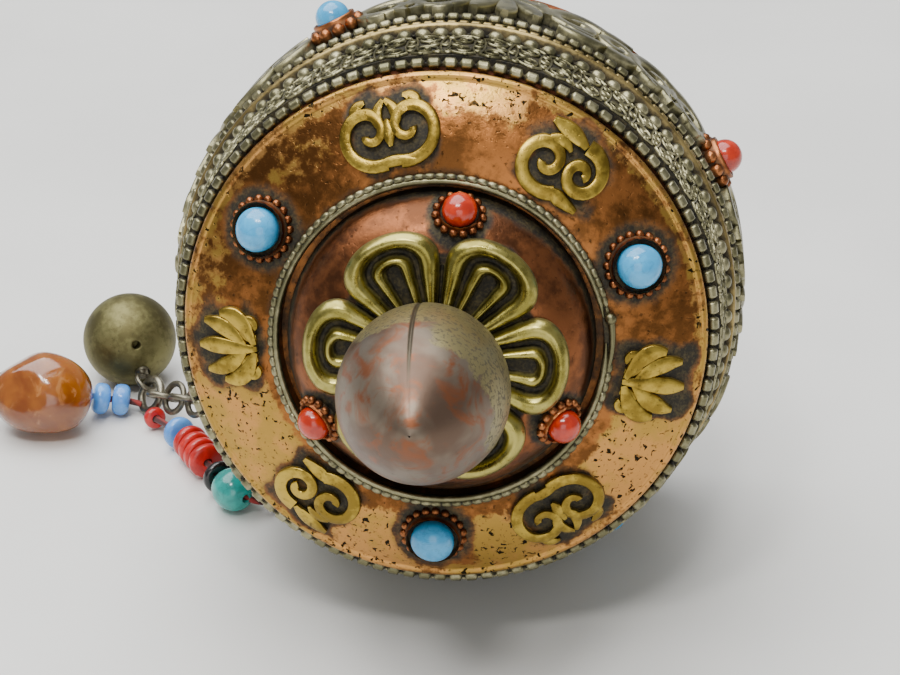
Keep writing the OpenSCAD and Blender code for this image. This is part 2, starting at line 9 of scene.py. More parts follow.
import bpy
import numpy as np
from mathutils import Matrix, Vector


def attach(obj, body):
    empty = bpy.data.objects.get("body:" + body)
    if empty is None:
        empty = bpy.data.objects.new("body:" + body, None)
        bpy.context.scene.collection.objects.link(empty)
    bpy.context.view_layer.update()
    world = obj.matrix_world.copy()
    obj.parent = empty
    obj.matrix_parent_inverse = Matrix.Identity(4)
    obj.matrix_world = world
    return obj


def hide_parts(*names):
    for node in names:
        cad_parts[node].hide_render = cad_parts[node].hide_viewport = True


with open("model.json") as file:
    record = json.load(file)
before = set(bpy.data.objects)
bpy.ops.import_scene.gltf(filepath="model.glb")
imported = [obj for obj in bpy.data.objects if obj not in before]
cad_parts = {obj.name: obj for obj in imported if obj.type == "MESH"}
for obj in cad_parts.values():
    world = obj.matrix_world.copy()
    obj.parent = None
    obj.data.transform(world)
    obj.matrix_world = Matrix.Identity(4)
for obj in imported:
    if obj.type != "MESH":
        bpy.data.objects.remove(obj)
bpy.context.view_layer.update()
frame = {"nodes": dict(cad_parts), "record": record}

MM = 0.001
TAU = 2 * math.pi
joints = {joint["name"]: joint for joint in frame["record"]["behaviour"]["joints"]}
hub = np.array(joints["drum_spin"]["pos_m"])
spin_axis = np.array(joints["drum_spin"]["axis"])
across = np.array([1.0, 0.0, 0.0])
upright = np.cross(spin_axis, across)
# The strands are laid out from the point under the hub, as their routes are in the design
strand_origin = np.array([hub[0], hub[1], 0.0])

# Sizes of the wheel, in millimetres
DRUM_TURN = math.radians(1.8)
DRUM_H = 50.0
MID_Z = -DRUM_H / 2
CAP_R, CAP_RISE, CAP_INNER_R = 34.0, 5.2, 21.0
TWIST_R = 21.4
DOME_FLAT_R, DOME_FOOT_R, DOME_FOOT_Z, DOME_TOP_Z = 12.0, 19.8, 4.0, 11.5
BULB_R, BULB_MID_Z, TIP_Z = 10.5, 27.0, 43.0
CAP_STONES = [22, 148, -93]
CAP_ORNAMENTS = [103, 55, -12, -57, -128, -177]
DOME_STONES = [80.5, -31, -148.5]
CAP_STONE_AT, ORNAMENT_AT = 26.8, 27.6
FIRST_PETAL = math.radians(-5)
SIDE_TURQUOISES, SIDE_CORALS = [115, -59], [26, -156]
# Zones of the cap that are rubbed golden: middle and half width in degrees, inner radius, strength
RUBBED_ZONES = [(-152, 21, 23, 1.0), (-108, 14, 24, 0.85), (-72, 15, 24, 0.8), (-33, 18, 24, 0.95),
                (128, 14, 26, 0.45), (80, 16, 28.5, 0.7), (166, 16, 27.5, 0.5), (2, 12, 30, 0.3)]


# ---------------------------------------------------------------- geometry

def stack(x, y, z):
    """Points from three arrays of coordinates that broadcast together."""
    return np.stack(np.broadcast_arrays(x, y, z), axis=-1).astype(float)


def lay(points, turned=True):
    """Wheel-frame points in millimetres to row-frame metres, turned with the drum or not."""
    points = np.asarray(points, float)
    x, y, z = points[..., 0], points[..., 1], points[..., 2]
    if turned:
        c, s = math.cos(DRUM_TURN), math.sin(DRUM_TURN)
        x, y = c * x - s * y, s * x + c * y
    return hub + MM * (x[..., None] * across + y[..., None] * upright + z[..., None] * spin_axis)


def table(points):
    """Millimetres counted from the point under the hub to row-frame metres."""
    return strand_origin + MM * np.asarray(points, float)


def around(n):
    """n angles evenly round a full turn."""
    return np.arange(n) * TAU / n


def polar(r, angle, z):
    """Points at a radius and an angle round the z axis, and at a height."""
    return stack(r * np.cos(angle), r * np.sin(angle), z)


def unit_ball(lat, sides):
    """A sphere of radius 1, with a ring at each latitude."""
    lat = np.asarray(lat)[:, None]
    return polar(np.cos(lat), around(sides), np.sin(lat))


def smoothstep(low, high, x):
    """0 at low and below, 1 at high and above, smooth between them."""
    t = np.clip((x - low) / (high - low), 0, 1)
    return t * t * (3 - 2 * t)


def unit(v):
    """Vectors scaled to length 1."""
    v = np.asarray(v, float)
    return v / np.maximum(np.linalg.norm(v, axis=-1, keepdims=True), 1e-12)


class Shape:
    """One piece's mesh, made of closed grids of points; each grid is turned to face outwards."""

    def __init__(self):
        self.points, self.quads, self.tris, self.fields, self.count = [], [], [], [], 0

    def add(self, grid, relief=1.0, gild=0.0, loop=False):
        """Adds an (n, m, 3) grid whose rows are rings. A loop joins its last row to its first, otherwise each
        end is closed with a fan to its middle. relief is 0 in a recess and 1 on top, and some pieces set it
        low to paint shade; gild is 1 where the metal is rubbed golden, and along the cap's rolled edge it
        also paints a reflection."""
        n, m = grid.shape[:2]
        fields = np.stack([np.broadcast_to(f, (n, m)).astype(float).ravel() for f in (relief, gild)])
        index = np.arange(n * m).reshape(n, m)
        rows = index if not loop else np.vstack([index, index[:1]])
        nxt = np.roll(rows, -1, axis=1)
        quads = np.stack([rows[:-1], nxt[:-1], nxt[1:], rows[1:]], axis=-1).reshape(-1, 4)
        points = grid.reshape(-1, 3)
        tris = np.zeros((0, 3), int)
        if not loop:
            ends = np.stack([grid[0].mean(axis=0), grid[-1].mean(axis=0)])
            points = np.vstack([points, ends])
            first_end, last_end = fields[:, :m].mean(axis=1), fields[:, -m:].mean(axis=1)
            fields = np.hstack([fields, first_end[:, None], last_end[:, None]])
            first, last = index[0], index[-1]
            tris = np.vstack([
                np.stack([np.roll(first, -1), first, np.full(m, n * m)], axis=-1),
                np.stack([last, np.roll(last, -1), np.full(m, n * m + 1)], axis=-1)])
        centred = points - points.mean(axis=0)
        halves = np.vstack([quads[:, [0, 1, 2]], quads[:, [0, 2, 3]], tris])
        a, b, c = (centred[halves[:, k]] for k in range(3))
        if np.einsum("ij,ij->i", a, np.cross(b, c)).sum() < 0:
            quads, tris = quads[:, ::-1], tris[:, ::-1]
        self.points.append(points)
        self.quads.append(quads + self.count)
        self.tris.append(tris + self.count)
        self.fields.append(fields)
        self.count += len(points)
        return self

    def build(self, name, material, body, slot, node, sharp=45):
        """Makes the piece that rides on a body and replaces a design node. Edges that turn by
        more than sharp degrees stay crisp."""
        points = np.vstack(self.points)
        quads, tris = np.vstack(self.quads), np.vstack(self.tris)
        mesh = bpy.data.meshes.new(name)
        mesh.vertices.add(len(points))
        mesh.vertices.foreach_set("co", points.astype(np.float32).ravel())
        mesh.loops.add(4 * len(quads) + 3 * len(tris))
        mesh.loops.foreach_set("vertex_index", np.concatenate([quads.ravel(), tris.ravel()]).astype(np.int32))
        mesh.polygons.add(len(quads) + len(tris))
        starts = np.concatenate([np.arange(len(quads)) * 4, 4 * len(quads) + np.arange(len(tris)) * 3])
        mesh.polygons.foreach_set("loop_start", starts.astype(np.int32))
        mesh.update(calc_edges=True)
        mesh.validate()
        mesh.shade_smooth()
        mesh.set_sharp_from_angle(angle=math.radians(sharp))
        for kind, values in zip(("relief", "gild"), np.hstack(self.fields)):
            field = mesh.attributes.new(kind, "FLOAT", "POINT")
            field.data.foreach_set("value", values.astype(np.float32))
        piece = bpy.data.objects.new(name, mesh)
        bpy.context.scene.collection.objects.link(piece)
        mesh.materials.append(material)
        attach(piece, body)
        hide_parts(node)
        return piece


def turned(profile, steps, place=lay):
    """A profile of (r, z) points carried round the spindle: a grid of rings along the profile."""
    profile = np.asarray(profile, float)
    return place(polar(profile[:, :1], around(steps), profile[:, 1:]))


def sweep(path, side, other, radius, sides):
    """A round section carried along a path, whose two axes at each point are side and other."""
    a = around(sides)
    radius = np.broadcast_to(np.asarray(radius, float), len(path))[:, None, None]
    return path[:, None] + radius * (np.cos(a)[None, :, None] * side[:, None]
                                     + np.sin(a)[None, :, None] * other[:, None])


def seed_for(direction):
    """An axis that is well away from a direction."""
    return np.array([0.0, 0.0, 1.0]) if abs(direction[2]) < 0.9 else np.array([1.0, 0.0, 0.0])


def tube(path, radius, sides):
    """A round section carried along an open path; it turns as little as it can. radius may
    change along the path."""
    path = np.asarray(path, float)
    along = unit(np.gradient(path, axis=0))
    side = np.zeros_like(along)
    side[0] = unit(np.cross(along[0], seed_for(along[0])))
    for i in range(1, len(path)):
        side[i] = unit(side[i - 1] - along[i] * np.dot(side[i - 1], along[i]))
    return sweep(path, side, np.cross(along, side), radius, sides)


def closed_tube(path, radius, sides=10):
    """A round section carried round a closed flat path, its frame set by the path's own plane."""
    path = np.asarray(path, float)
    along = unit(np.roll(path, -1, axis=0) - np.roll(path, 1, axis=0))
    out = unit(path - path.mean(axis=0))
    out = unit(out - along * np.einsum("ij,ij->i", out, along)[:, None])
    return sweep(path, out, np.cross(along, out), radius, sides)


# A stroke's section: across from -1 to 1, and height from under the ground to 1 on top
STROKE_ACROSS = np.array([-1.0, -1.0, -0.93, -0.76, 0.0, 0.76, 0.93, 1.0, 1.0, 0.0])
STROKE_UP = np.array([-0.35, 0.6, 0.88, 1.0, 1.0, 1.0, 0.88, 0.6, -0.35, -0.35])
STROKE_RELIEF = np.clip(STROKE_UP * 1.15 - 0.1, 0, 1)


def stroke(shape, line, half_width, height, onto):
    """A raised ribbon along a flat line of (x, y) points, its half width given along the line;
    onto(x, y, up) carries it onto the surface that it stands on."""
    along = unit(np.gradient(line, axis=0))
    side = np.stack([-along[:, 1], along[:, 0]], axis=-1)
    flat = line[:, None] + side[:, None] * (half_width[:, None] * STROKE_ACROSS)[..., None]
    up = np.full((len(line), 1), height) * STROKE_UP
    shape.add(onto(flat[..., 0], flat[..., 1], up), relief=STROKE_RELIEF)


def curl(start, centre, turns, end_radius, n=26):
    """A volute: from start round centre through the given turns, closing to end_radius."""
    start, centre = np.array(start, float), np.array(centre, float)
    r0 = np.linalg.norm(start - centre)
    a0 = math.atan2(*(start - centre)[::-1])
    t = np.linspace(0, 1, n)
    r = r0 + (end_radius - r0) * t ** 0.8
    a = a0 + TAU * turns * t
    return centre + r[:, None] * np.stack([np.cos(a), np.sin(a)], axis=-1)


def bezier(a, b, c, d, n):
    """A cubic Bezier curve of n points."""
    t = np.linspace(0, 1, n)[:, None]
    a, b, c, d = (np.array(p, float) for p in (a, b, c, d))
    return (1 - t) ** 3 * a + 3 * (1 - t) ** 2 * t * b + 3 * (1 - t) * t ** 2 * c + t ** 3 * d


def leaf(n, fullest, thin):
    """Half width of a leaf along its line, from thin at both ends to 1 at its fullest."""
    t = np.linspace(0, 1, n)
    rise = np.where(t < fullest, t / fullest, (1 - t) / (1 - fullest))
    return thin + (1 - thin) * np.sin(rise * math.pi / 2)


def blade(a, b, c, d, n, fullest, thin, width):
    """A leaf's line, a Bezier curve, and its half width."""
    return bezier(a, b, c, d, n), leaf(n, fullest, thin) * width


def volute(start, centre, turns, end_radius, n, first, last):
    """A volute's line, and a half width that falls evenly from first to last."""
    return curl(start, centre, turns, end_radius, n), np.linspace(first, last, n)


def cap_z(r):
    """Height of the cap's upper face at radius r."""
    return CAP_RISE * (1 - np.maximum(0, (r - TWIST_R) / (CAP_R - TWIST_R)) ** 1.6)


def dome_point(angle):
    """Radius and height on the dome's quarter ellipse at an angle from its foot."""
    return (DOME_FLAT_R + (DOME_FOOT_R - DOME_FLAT_R) * np.cos(angle),
            DOME_FOOT_Z + (DOME_TOP_Z - DOME_FOOT_Z) * np.sin(angle))


def shell_r(z):
    """Outer radius of the drum's shell."""
    return 33.4 + 2.8 * (1 - ((z - MID_Z) / MID_Z) ** 2)


def grain(*angles):
    """A smooth uneven value between -1 and 1, the mean of sines of the angles."""
    return sum(np.sin(a) for a in angles) / len(angles)


# ---------------------------------------------------------------- materials

def srgb(text):
    """A linear colour from a hex one."""
    parts = [int(text[i:i + 2], 16) / 255 for i in (1, 3, 5)]
    return tuple(c / 12.92 if c <= 0.04045 else ((c + 0.055) / 1.055) ** 2.4 for c in parts) + (1.0,)


class Value:
    """A number in a material: arithmetic on it adds Math nodes."""

    def __init__(self, paint, socket):
        self.paint, self.socket = paint, socket

    def math(self, operation, *others):
        """A Math node on this value and the others."""
        values = dict(enumerate((self, *others)))
        return self.paint.node("ShaderNodeMath", {"operation": operation}, values)[0]

    def __add__(self, other):
        return self.math("ADD", other)

    def __sub__(self, other):
        return self.math("SUBTRACT", other)

    def __mul__(self, other):
        return self.math("MULTIPLY", other)

    def __rsub__(self, other):
        return (self * -1.0) + other

    __radd__, __rmul__ = __add__, __mul__

    def step(self, low, high):
        """0 below low and 1 above high, smooth between them."""
        settings = {"interpolation_type": "SMOOTHSTEP"}
        return self.paint.node("ShaderNodeMapRange", settings, {0: self, 1: low, 2: high})[0]


class Paint:
    """A material under construction. Object coordinates are read in metres."""

    def __init__(self, name, **constants):
        self.material = bpy.data.materials.new(name)
        self.material.use_nodes = True
        self.tree = self.material.node_tree
        self.tree.nodes.clear()
        self.out = self.tree.nodes.new("ShaderNodeOutputMaterial")
        self.shader = self.tree.nodes.new("ShaderNodeBsdfPrincipled")
        self.tree.links.new(self.shader.outputs[0], self.out.inputs["Surface"])
        self.where = self.node("ShaderNodeTexCoord", {}, {})[3]
        for key, value in constants.items():
            self.shader.inputs[key.replace("_", " ").title().replace("Ior", "IOR")].default_value = value

    def node(self, kind, settings, values):
        """A node of any kind; settings are its own properties, and values go to its sockets by
        place or name. Returns its outputs as Values."""
        made = self.tree.nodes.new(kind)
        for key, value in settings.items():
            setattr(made, key, value)
        for key, value in values.items():
            if isinstance(value, Value):
                self.tree.links.new(value.socket, made.inputs[key])
            else:
                made.inputs[key].default_value = value
        return [Value(self, socket) for socket in made.outputs]

    def noise(self, size_mm, detail=3.0, roughness=0.55, distortion=0.0, where=None):
        """Noise from 0 to 1 whose features are about size_mm across."""
        return self.node("ShaderNodeTexNoise", {}, {
            "Vector": where or self.where, "Scale": 1 / (size_mm * MM), "Detail": detail,
            "Roughness": roughness, "Distortion": distortion})[0]

    def waves(self, direction, scale):
        """Bands of light and dark across a direction."""
        return self.node("ShaderNodeTexWave", {"bands_direction": direction}, {
            "Vector": self.where, "Scale": scale})[1]

    def field(self, name):
        """A number stored on the mesh."""
        return self.node("ShaderNodeAttribute", {"attribute_name": name}, {})[2]

    def mix(self, factor, a, b):
        """Colour a where factor is 0, and b where it is 1."""
        return self.node("ShaderNodeMix", {"data_type": "RGBA"}, {0: factor, 6: a, 7: b})[2]

    def bump(self, height, depth_mm, strength):
        """A normal that a height from 0 to 1 bends, depth_mm deep."""
        return self.node("ShaderNodeBump", {}, {
            "Height": height, "Distance": depth_mm * MM, "Strength": strength})[0]

    def finish(self, **links):
        """Joins values to the shader's sockets and returns the material."""
        for key, value in links.items():
            self.tree.links.new(value.socket, self.shader.inputs[key.replace("_", " ")])
        return self.material


def aged_metal(name, bright, middle, patina, gild=None, pits=0.35, rough=0.34, edge=0.45):
    """Worn metal: clean on raised parts and dark where the mesh's relief field is low, with mottling and fine
    pits. The dark is patina in recesses, and painted shade where a piece sets its relief low for shade. gild,
    where given, is two colours of the rubbed zones that the mesh's gild field marks; along the cap's rolled
    edge that gold is partly a painted reflection."""
    paint = Paint(name, specular_ior_level=0.5)
    relief = paint.field("relief")
    broad, mottle = paint.noise(9, 3), paint.noise(1.6, 4, 0.62)
    fine = paint.noise(0.35, 3, 0.6)
    # Dark where relief is low: patina in recesses, and painted shade where a piece sets relief low for shade
    clean_and_lit = (relief + (mottle - 0.5) * 0.7 + (broad - 0.5) * 0.3).step(edge - 0.34, edge + 0.24)
    colour = paint.mix((broad + (mottle - 0.5) * 0.7).step(0.38, 0.64), srgb(middle), srgb(bright))
    pitted = paint.noise(0.55, 2, 0.5).step(0.66 - 0.1 * pits, 0.74) * pits
    if gild:
        zone = (paint.field("gild") + (mottle - 0.5) * 1.3 + (broad - 0.5) * 0.5).step(0.36, 0.66)
        blend = (broad * 0.6 + paint.noise(3.2, 3, 0.6) * 0.4).step(0.42, 0.56)
        gold = paint.mix(blend, srgb(gild[0]), srgb(gild[1]))
        colour = paint.mix(zone, colour, gold)
        pitted = (pitted + zone * paint.noise(0.85, 2, 0.5, 0.6).step(0.61, 0.66)).math("MINIMUM", 1.0)
    dark = paint.mix((mottle * 0.5 + fine * 0.5).step(0.42, 0.66), srgb(patina), srgb("#4b4228"))
    colour = paint.mix(pitted, colour, srgb(patina))
    colour = paint.mix(clean_and_lit, dark, colour)
    roughness = (mottle * 0.22) + (rough - 0.06) + (1.0 - clean_and_lit) * 0.32 + pitted * 0.15
    metallic = (clean_and_lit * 0.62) + 0.38
    height = fine * 0.35 + mottle * 0.8 - pitted * 0.8
    return paint.finish(Base_Color=colour, Roughness=roughness, Metallic=metallic,
                        Normal=paint.bump(height, 0.07, 0.7))


def plain_metal(name, bright, middle, patina, rough=0.38, brushed=0.5):
    """Aged metal on pieces that carry no relief field: mottled tarnish and dark spots."""
    paint = Paint(name)
    broad, mottle = paint.noise(6, 3), paint.noise(1.1, 4, 0.65)
    tarnish = (broad * 0.6 + mottle * 0.4).step(0.42, 0.62)
    spots = paint.noise(0.5, 2).step(0.64, 0.72) * brushed
    colour = paint.mix(tarnish, srgb(middle), srgb(bright))
    colour = paint.mix(spots, colour, srgb(patina))
    return paint.finish(Base_Color=colour, Roughness=mottle * 0.25 + (rough - 0.08) + spots * 0.2,
                        Metallic=0.95 - spots * 0.5, Normal=paint.bump(mottle + spots * -0.6, 0.05, 0.6))


def stone(name, light, deep, vein=None, rough=0.18, patch_mm=2.2, subsurface=0.0):
    """A polished stone: soft patches between two colours, with thin veins where one is given."""
    paint = Paint(name, coat_weight=0.35, coat_roughness=0.08, subsurface_weight=subsurface,
                  subsurface_scale=1.2 * MM, subsurface_radius=(1.0, 0.5, 0.3))
    patch = paint.noise(patch_mm, 3, 0.55, 0.4)
    colour = paint.mix(patch.step(0.36, 0.66), srgb(deep), srgb(light))
    if vein:
        line = (paint.noise(patch_mm * 1.5, 4, 0.6, 0.8) - 0.5).math("ABSOLUTE")
        colour = paint.mix((1.0 - line.step(0.004, 0.022)) * 0.35, colour, srgb(vein))
    fine = paint.noise(0.3, 2)
    return paint.finish(Base_Color=colour, Roughness=patch * 0.1 + (rough - 0.04),
                        Normal=paint.bump(fine + patch, 0.02, 0.4))


def translucent_stone():
    """Carnelian: cloudy orange-brown that lets light through, paler where it is flawed."""
    paint = Paint("carnelian", coat_weight=0.6, coat_roughness=0.06, ior=1.54,
                  transmission_weight=0.28, subsurface_weight=0.45, subsurface_scale=3 * MM,
                  subsurface_radius=(1.0, 0.35, 0.12))
    cloud, flaw = paint.noise(7, 3, 0.5, 0.6), paint.noise(3.2, 4, 0.6, 1.0)
    colour = paint.mix(cloud.step(0.35, 0.68), srgb("#82400a"), srgb("#ad661c"))
    colour = paint.mix(flaw.step(0.58, 0.74) * 0.6, colour, srgb("#d29457"))
    return paint.finish(Base_Color=colour, Roughness=cloud * 0.15 + 0.08,
                        Normal=paint.bump(cloud * 1.5 + flaw * 0.4, 0.5, 0.4))


def bulb_copper():
    """Copper sheet coloured by the solder's heat: smoky brown with red patches, yellow-green
    mottling where the gild field marks it, and dark along the seam that relief marks."""
    paint = Paint("smoked_copper")
    broad, mottle, fine = paint.noise(8, 3, 0.5, 0.5), paint.noise(1.8, 4, 0.65), paint.noise(0.5, 3)
    streak = paint.noise(4, 3, 0.6, 1.2)
    colour = paint.mix(broad.step(0.4, 0.62), srgb("#75695b"), srgb("#5f4c3f"))
    colour = paint.mix(streak.step(0.48, 0.7), colour, srgb("#7a4a30"))
    green = (paint.field("gild") + (mottle - 0.5) * 1.1).step(0.36, 0.54)
    colour = paint.mix(green * 0.85, colour, srgb("#8a8056"))
    dark = (green * fine.step(0.5, 0.62) * 0.8 + mottle.step(0.64, 0.74) * 0.45).math("MINIMUM", 1.0)
    colour = paint.mix(dark, colour, srgb("#3b3428"))
    colour = paint.mix(paint.field("relief").step(0.25, 0.75), srgb("#4c4436"), colour)
    return paint.finish(Base_Color=colour, Roughness=mottle * 0.22 + 0.3 + dark * 0.15,
                        Metallic=0.8 - dark * 0.4, Normal=paint.bump(mottle + fine * 0.3, 0.05, 0.5))


def turned_wood():
    """Dark oiled wood whose grain runs along the handle."""
    paint = Paint("turned_wood", coat_weight=0.15, coat_roughness=0.25)
    angle = math.atan2(spin_axis[2], -spin_axis[1])
    turned_to = paint.node("ShaderNodeMapping", {"vector_type": "POINT"}, {
        "Vector": paint.where, "Rotation": (angle, 0, 0), "Scale": (1.0, 0.09, 1.0)})[0]
    grain_fine = paint.noise(0.9, 4, 0.6, 0.5, turned_to)
    grain_broad = paint.noise(4.5, 3, 0.5, 1.5, turned_to)
    streaks = (grain_broad * 0.6 + grain_fine * 0.5).step(0.4, 0.7)
    colour = paint.mix(streaks, srgb("#3a1e10"), srgb("#6b3c1f"))
    pores = paint.noise(0.4, 2, 0.5, 0.0, turned_to).step(0.62, 0.7)
    colour = paint.mix(pores * 0.6, colour, srgb("#1c0e07"))
    return paint.finish(Base_Color=colour, Roughness=grain_fine * 0.2 + 0.32,
                        Normal=paint.bump(grain_fine - pores * 0.8, 0.08, 0.6))


def paper():
    """The scroll's paper, foxed with age where the mesh's relief field, if it has one, is raised."""
    paint = Paint("rolled_paper")
    age = paint.noise(5, 4, 0.6)
    fibre = paint.noise(0.3, 3, 0.7)
    rings = paint.field("relief")
    colour = paint.mix(age.step(0.35, 0.7), srgb("#b79a6a"), srgb("#d8c498"))
    colour = paint.mix(rings.step(0.2, 0.8), srgb("#7d6440"), colour)
    return paint.finish(Base_Color=colour, Roughness=fibre * 0.1 + 0.85, Normal=paint.bump(fibre, 0.06, 0.6))


def silk():
    """Plain woven silk: a fine weave of crossed threads with a soft sheen."""
    paint = Paint("silk", sheen_weight=0.5, sheen_roughness=0.3)
    warp, weft = paint.waves("X", 900.0), paint.waves("Y", 900.0)
    fold = paint.noise(6, 3)
    colour = paint.mix(fold.step(0.3, 0.7), srgb("#b9731a"), srgb("#dba03c"))
    weave = warp * weft
    return paint.finish(Base_Color=paint.mix(weave * 0.3, colour, srgb("#8a4f10")),
                        Roughness=weave * 0.2 + 0.45, Normal=paint.bump(weave, 0.05, 0.5))


def thread():
    """Waxed red thread laid in two plies."""
    paint = Paint("waxed_thread", sheen_weight=0.2)
    ply = paint.waves("DIAGONAL", 260.0)
    fibre = paint.noise(0.3, 3, 0.7)
    colour = paint.mix(ply.step(0.2, 0.8), srgb("#3d0e0c"), srgb("#8a1f19"))
    return paint.finish(Base_Color=colour, Roughness=fibre * 0.2 + 0.6,
                        Normal=paint.bump(ply + fibre * 0.4, 0.08, 0.7))


def tabletop():
    """Pale grey-white laminate with a faint gloss."""
    paint = Paint("tabletop", coat_weight=0.08, coat_roughness=0.3)
    tone = paint.noise(60, 3)
    return paint.finish(Base_Color=paint.mix(tone.step(0.3, 0.7), srgb("#dddcd8"), srgb("#e4e3df")),
                        Roughness=tone * 0.08 + 0.42)


copper_paint = aged_metal("worn_copper", "#9a6234", "#633f20", "#211c12", gild=("#bf8a4c", "#a9853f"),
                          pits=0.6, rough=0.28)
dome_paint = aged_metal("dome_copper", "#855233", "#5d3a26", "#1d1811", pits=0.4, rough=0.3)
brass_paint = aged_metal("worn_brass", "#b89c44", "#80692a", "#1d1910", pits=0.5, rough=0.28, edge=0.5)
lotus_paint = aged_metal("lotus_brass", "#a99e58", "#82783a", "#1c1911", pits=0.2, rough=0.24, edge=0.5)
white_paint = aged_metal("white_metal", "#989272", "#6d694e", "#1a1812", pits=0.3, rough=0.33, edge=0.5)
hoop_paint = aged_metal("hoop_metal", "#a8935f", "#7d6c42", "#241e13", pits=0.3, rough=0.35, edge=0.5)
bezel_paint = aged_metal("bezel_copper", "#a3673f", "#744529", "#211b13", pits=0.3, rough=0.3, edge=0.5)
plain_copper = plain_metal("old_copper", "#8a5135", "#653a26", "#2a1e16")
plain_brass = plain_metal("old_brass", "#9a8844", "#75662a", "#2b2414")
plain_white = plain_metal("old_white_metal", "#8f8b72", "#6b6850", "#24221a")
iron_paint = plain_metal("iron", "#5d5a55", "#3d3a36", "#2a1c12", rough=0.45)
link_paint = plain_metal("link_metal", "#9b9684", "#6f6a5b", "#2a261e", rough=0.34)
ball_paint = plain_metal("ball_brass", "#7d7850", "#5d5738", "#322e1e", rough=0.5, brushed=0.3)
turquoise_paint = stone("turquoise", "#45abdf", "#3397cc", vein="#2a7da8", subsurface=0.05)
coral_paint = stone("coral", "#bd2c04", "#9f1f02", rough=0.2, patch_mm=1.6)
blue_glass_paint = stone("blue_glass", "#5a9be0", "#4688d6", rough=0.25)
red_paint = stone("red_bead", "#c9201a", "#a8140f", rough=0.35)
dark_paint = stone("dark_seed", "#1c1316", "#0d090b", rough=0.25)
teal_paint = stone("teal_stone", "#22a59b", "#178c85", vein="#146a64", rough=0.22)
shell_paint = stone("conch_shell", "#efe6d2", "#dccfb4", rough=0.3, patch_mm=4)


# ---------------------------------------------------------------- camera and light

def make_camera():
    """Looks down at the finial from a little to the right, with a long lens."""
    data = bpy.data.cameras.new("camera")
    lens_mm, sensor_mm, down_degrees, aside_degrees = 104.0, 36.0, 28.23, 5.306
    data.lens, data.sensor_width = lens_mm, sensor_mm
    data.clip_start, data.clip_end = 0.01, 10.0
    camera = bpy.data.objects.new("camera", data)
    camera.location = Vector(hub) + Vector((0.02821, -0.29571, 0.15834))
    camera.rotation_euler = (math.radians(90 - down_degrees), 0.0, math.radians(aside_degrees))
    bpy.context.scene.collection.objects.link(camera)
    bpy.context.scene.camera = camera


def make_light(name, place, size, power, colour=(1.0, 1.0, 1.0)):
    """A square soft light at a place in metres from the hub, turned to face it."""
    data = bpy.data.lights.new(name, "AREA")
    data.shape, data.size, data.energy, data.color = "SQUARE", size, power, colour
    light = bpy.data.objects.new(name, data)
    light.location = Vector(hub) + Vector(place)
    light.rotation_euler = (-Vector(place)).to_track_quat("-Z", "Y").to_euler()
    bpy.context.scene.collection.objects.link(light)


def make_studio():
    """A pale table, soft lamps above and in front of it, and a pale sky."""
    half = 1.6
    mesh = bpy.data.meshes.new("table")
    corners = [(-half, -half, 0), (half, -half, 0), (half, half, 0), (-half, half, 0)]
    mesh.from_pydata(corners, [], [(0, 1, 2, 3)])
    floor = bpy.data.objects.new("table", mesh)
    mesh.materials.append(tabletop())
    bpy.context.scene.collection.objects.link(floor)
    make_light("lamp_left", (-0.17, -0.42, 0.78), 0.12, 2.1, (1.0, 0.985, 0.96))
    make_light("lamp_right", (0.02, -0.42, 0.8), 0.12, 2.1, (1.0, 0.985, 0.96))
    make_light("soft_above", (-0.25, 0.2, 1.0), 1.2, 24.0, (0.98, 0.99, 1.0))
    make_light("front_fill", (0.1, -1.1, 0.35), 0.7, 3.0)
    world = bpy.data.worlds.new("sky")
    world.use_nodes = True
    sky = world.node_tree.nodes["Background"]
    sky.inputs[0].default_value = srgb("#e9ebec")
    sky.inputs[1].default_value = 0.47
    bpy.context.scene.world = world


# ---------------------------------------------------------------- bead strands

LEFT_ROUTE = [
    (-52.6, 52, 1.8), (-55.7, 51.7, 2.6), (-58.8, 51.2, 2.9), (-60.8, 50.4, 4),
    (-66.5, 49.8, 5.6), (-72.5, 49.8, 6.8), (-75.2, 51.2, 6.2), (-77.4, 53.8, 4.8),
    (-79.5, 56.5, 3.5), (-82.5, 59, 2.2), (-85.5, 60.5, 1.5), (-88, 61, 1.4)]
RIGHT_ROUTE = [
    (-50.7, 50.6, 1.5), (-49.6, 47.6, 2), (-47.3, 45, 2.4), (-44.8, 42.3, 2.7),
    (-43, 40.1, 2.8), (-40.6, 36.4, 2.8), (-38.2, 32.6, 2.8), (-36.4, 29.8, 2.8),
    (-33.6, 25.8, 3.2), (-30.8, 24.6, 2.4), (-28.2, 25.4, 1.6), (-26, 27, 1.4)]
CORD_R = 0.5
KNOT_SIZE = np.array([0.62, 0.62, 0.5])


def smooth_route(route, steps=8):
    """A Catmull-Rom curve through the route's points."""
    p = np.array(route, float)
    p = np.vstack([p[:1], p, p[-1:]])
    t = (np.arange(steps) / steps)[:, None]
    spans = [0.5 * (2 * b + (c - a) * t + (2 * a - 5 * b + 4 * c - d) * t ** 2
                    + (3 * b - a - 3 * c + d) * t ** 3)
             for a, b, c, d in zip(p[:-3], p[1:-2], p[2:-1], p[3:])]
    return np.vstack(spans + [p[-1:]])


def heading(route, i):
    """The direction of a route at its point i."""
    p = np.array(route, float)
    return unit(p[min(i + 1, len(p) - 1)] - p[max(i - 1, 0)])


def basis(direction):
    """Two directions square to the given one, and its own unit vector."""
    w = unit(direction)
    u = unit(np.cross(seed_for(w), w))
    return u, np.cross(w, u), w


def turned_on(centre, direction, profile, steps=48, wobble=None):
    """A profile of (r, z) points carried round a line through centre, in table millimetres.
    wobble(angle, z) multiplies the radius."""
    u, v, w = basis(direction)
    a = around(steps)
    profile = np.asarray(profile, float)
    r = profile[:, :1] * (1 if wobble is None else wobble(a[None, :], profile[:, 1:]))
    points = (r[..., None] * (np.cos(a)[None, :, None] * u + np.sin(a)[None, :, None] * v)
              + profile[:, 1][:, None, None] * w)
    return np.array(centre, float) + points


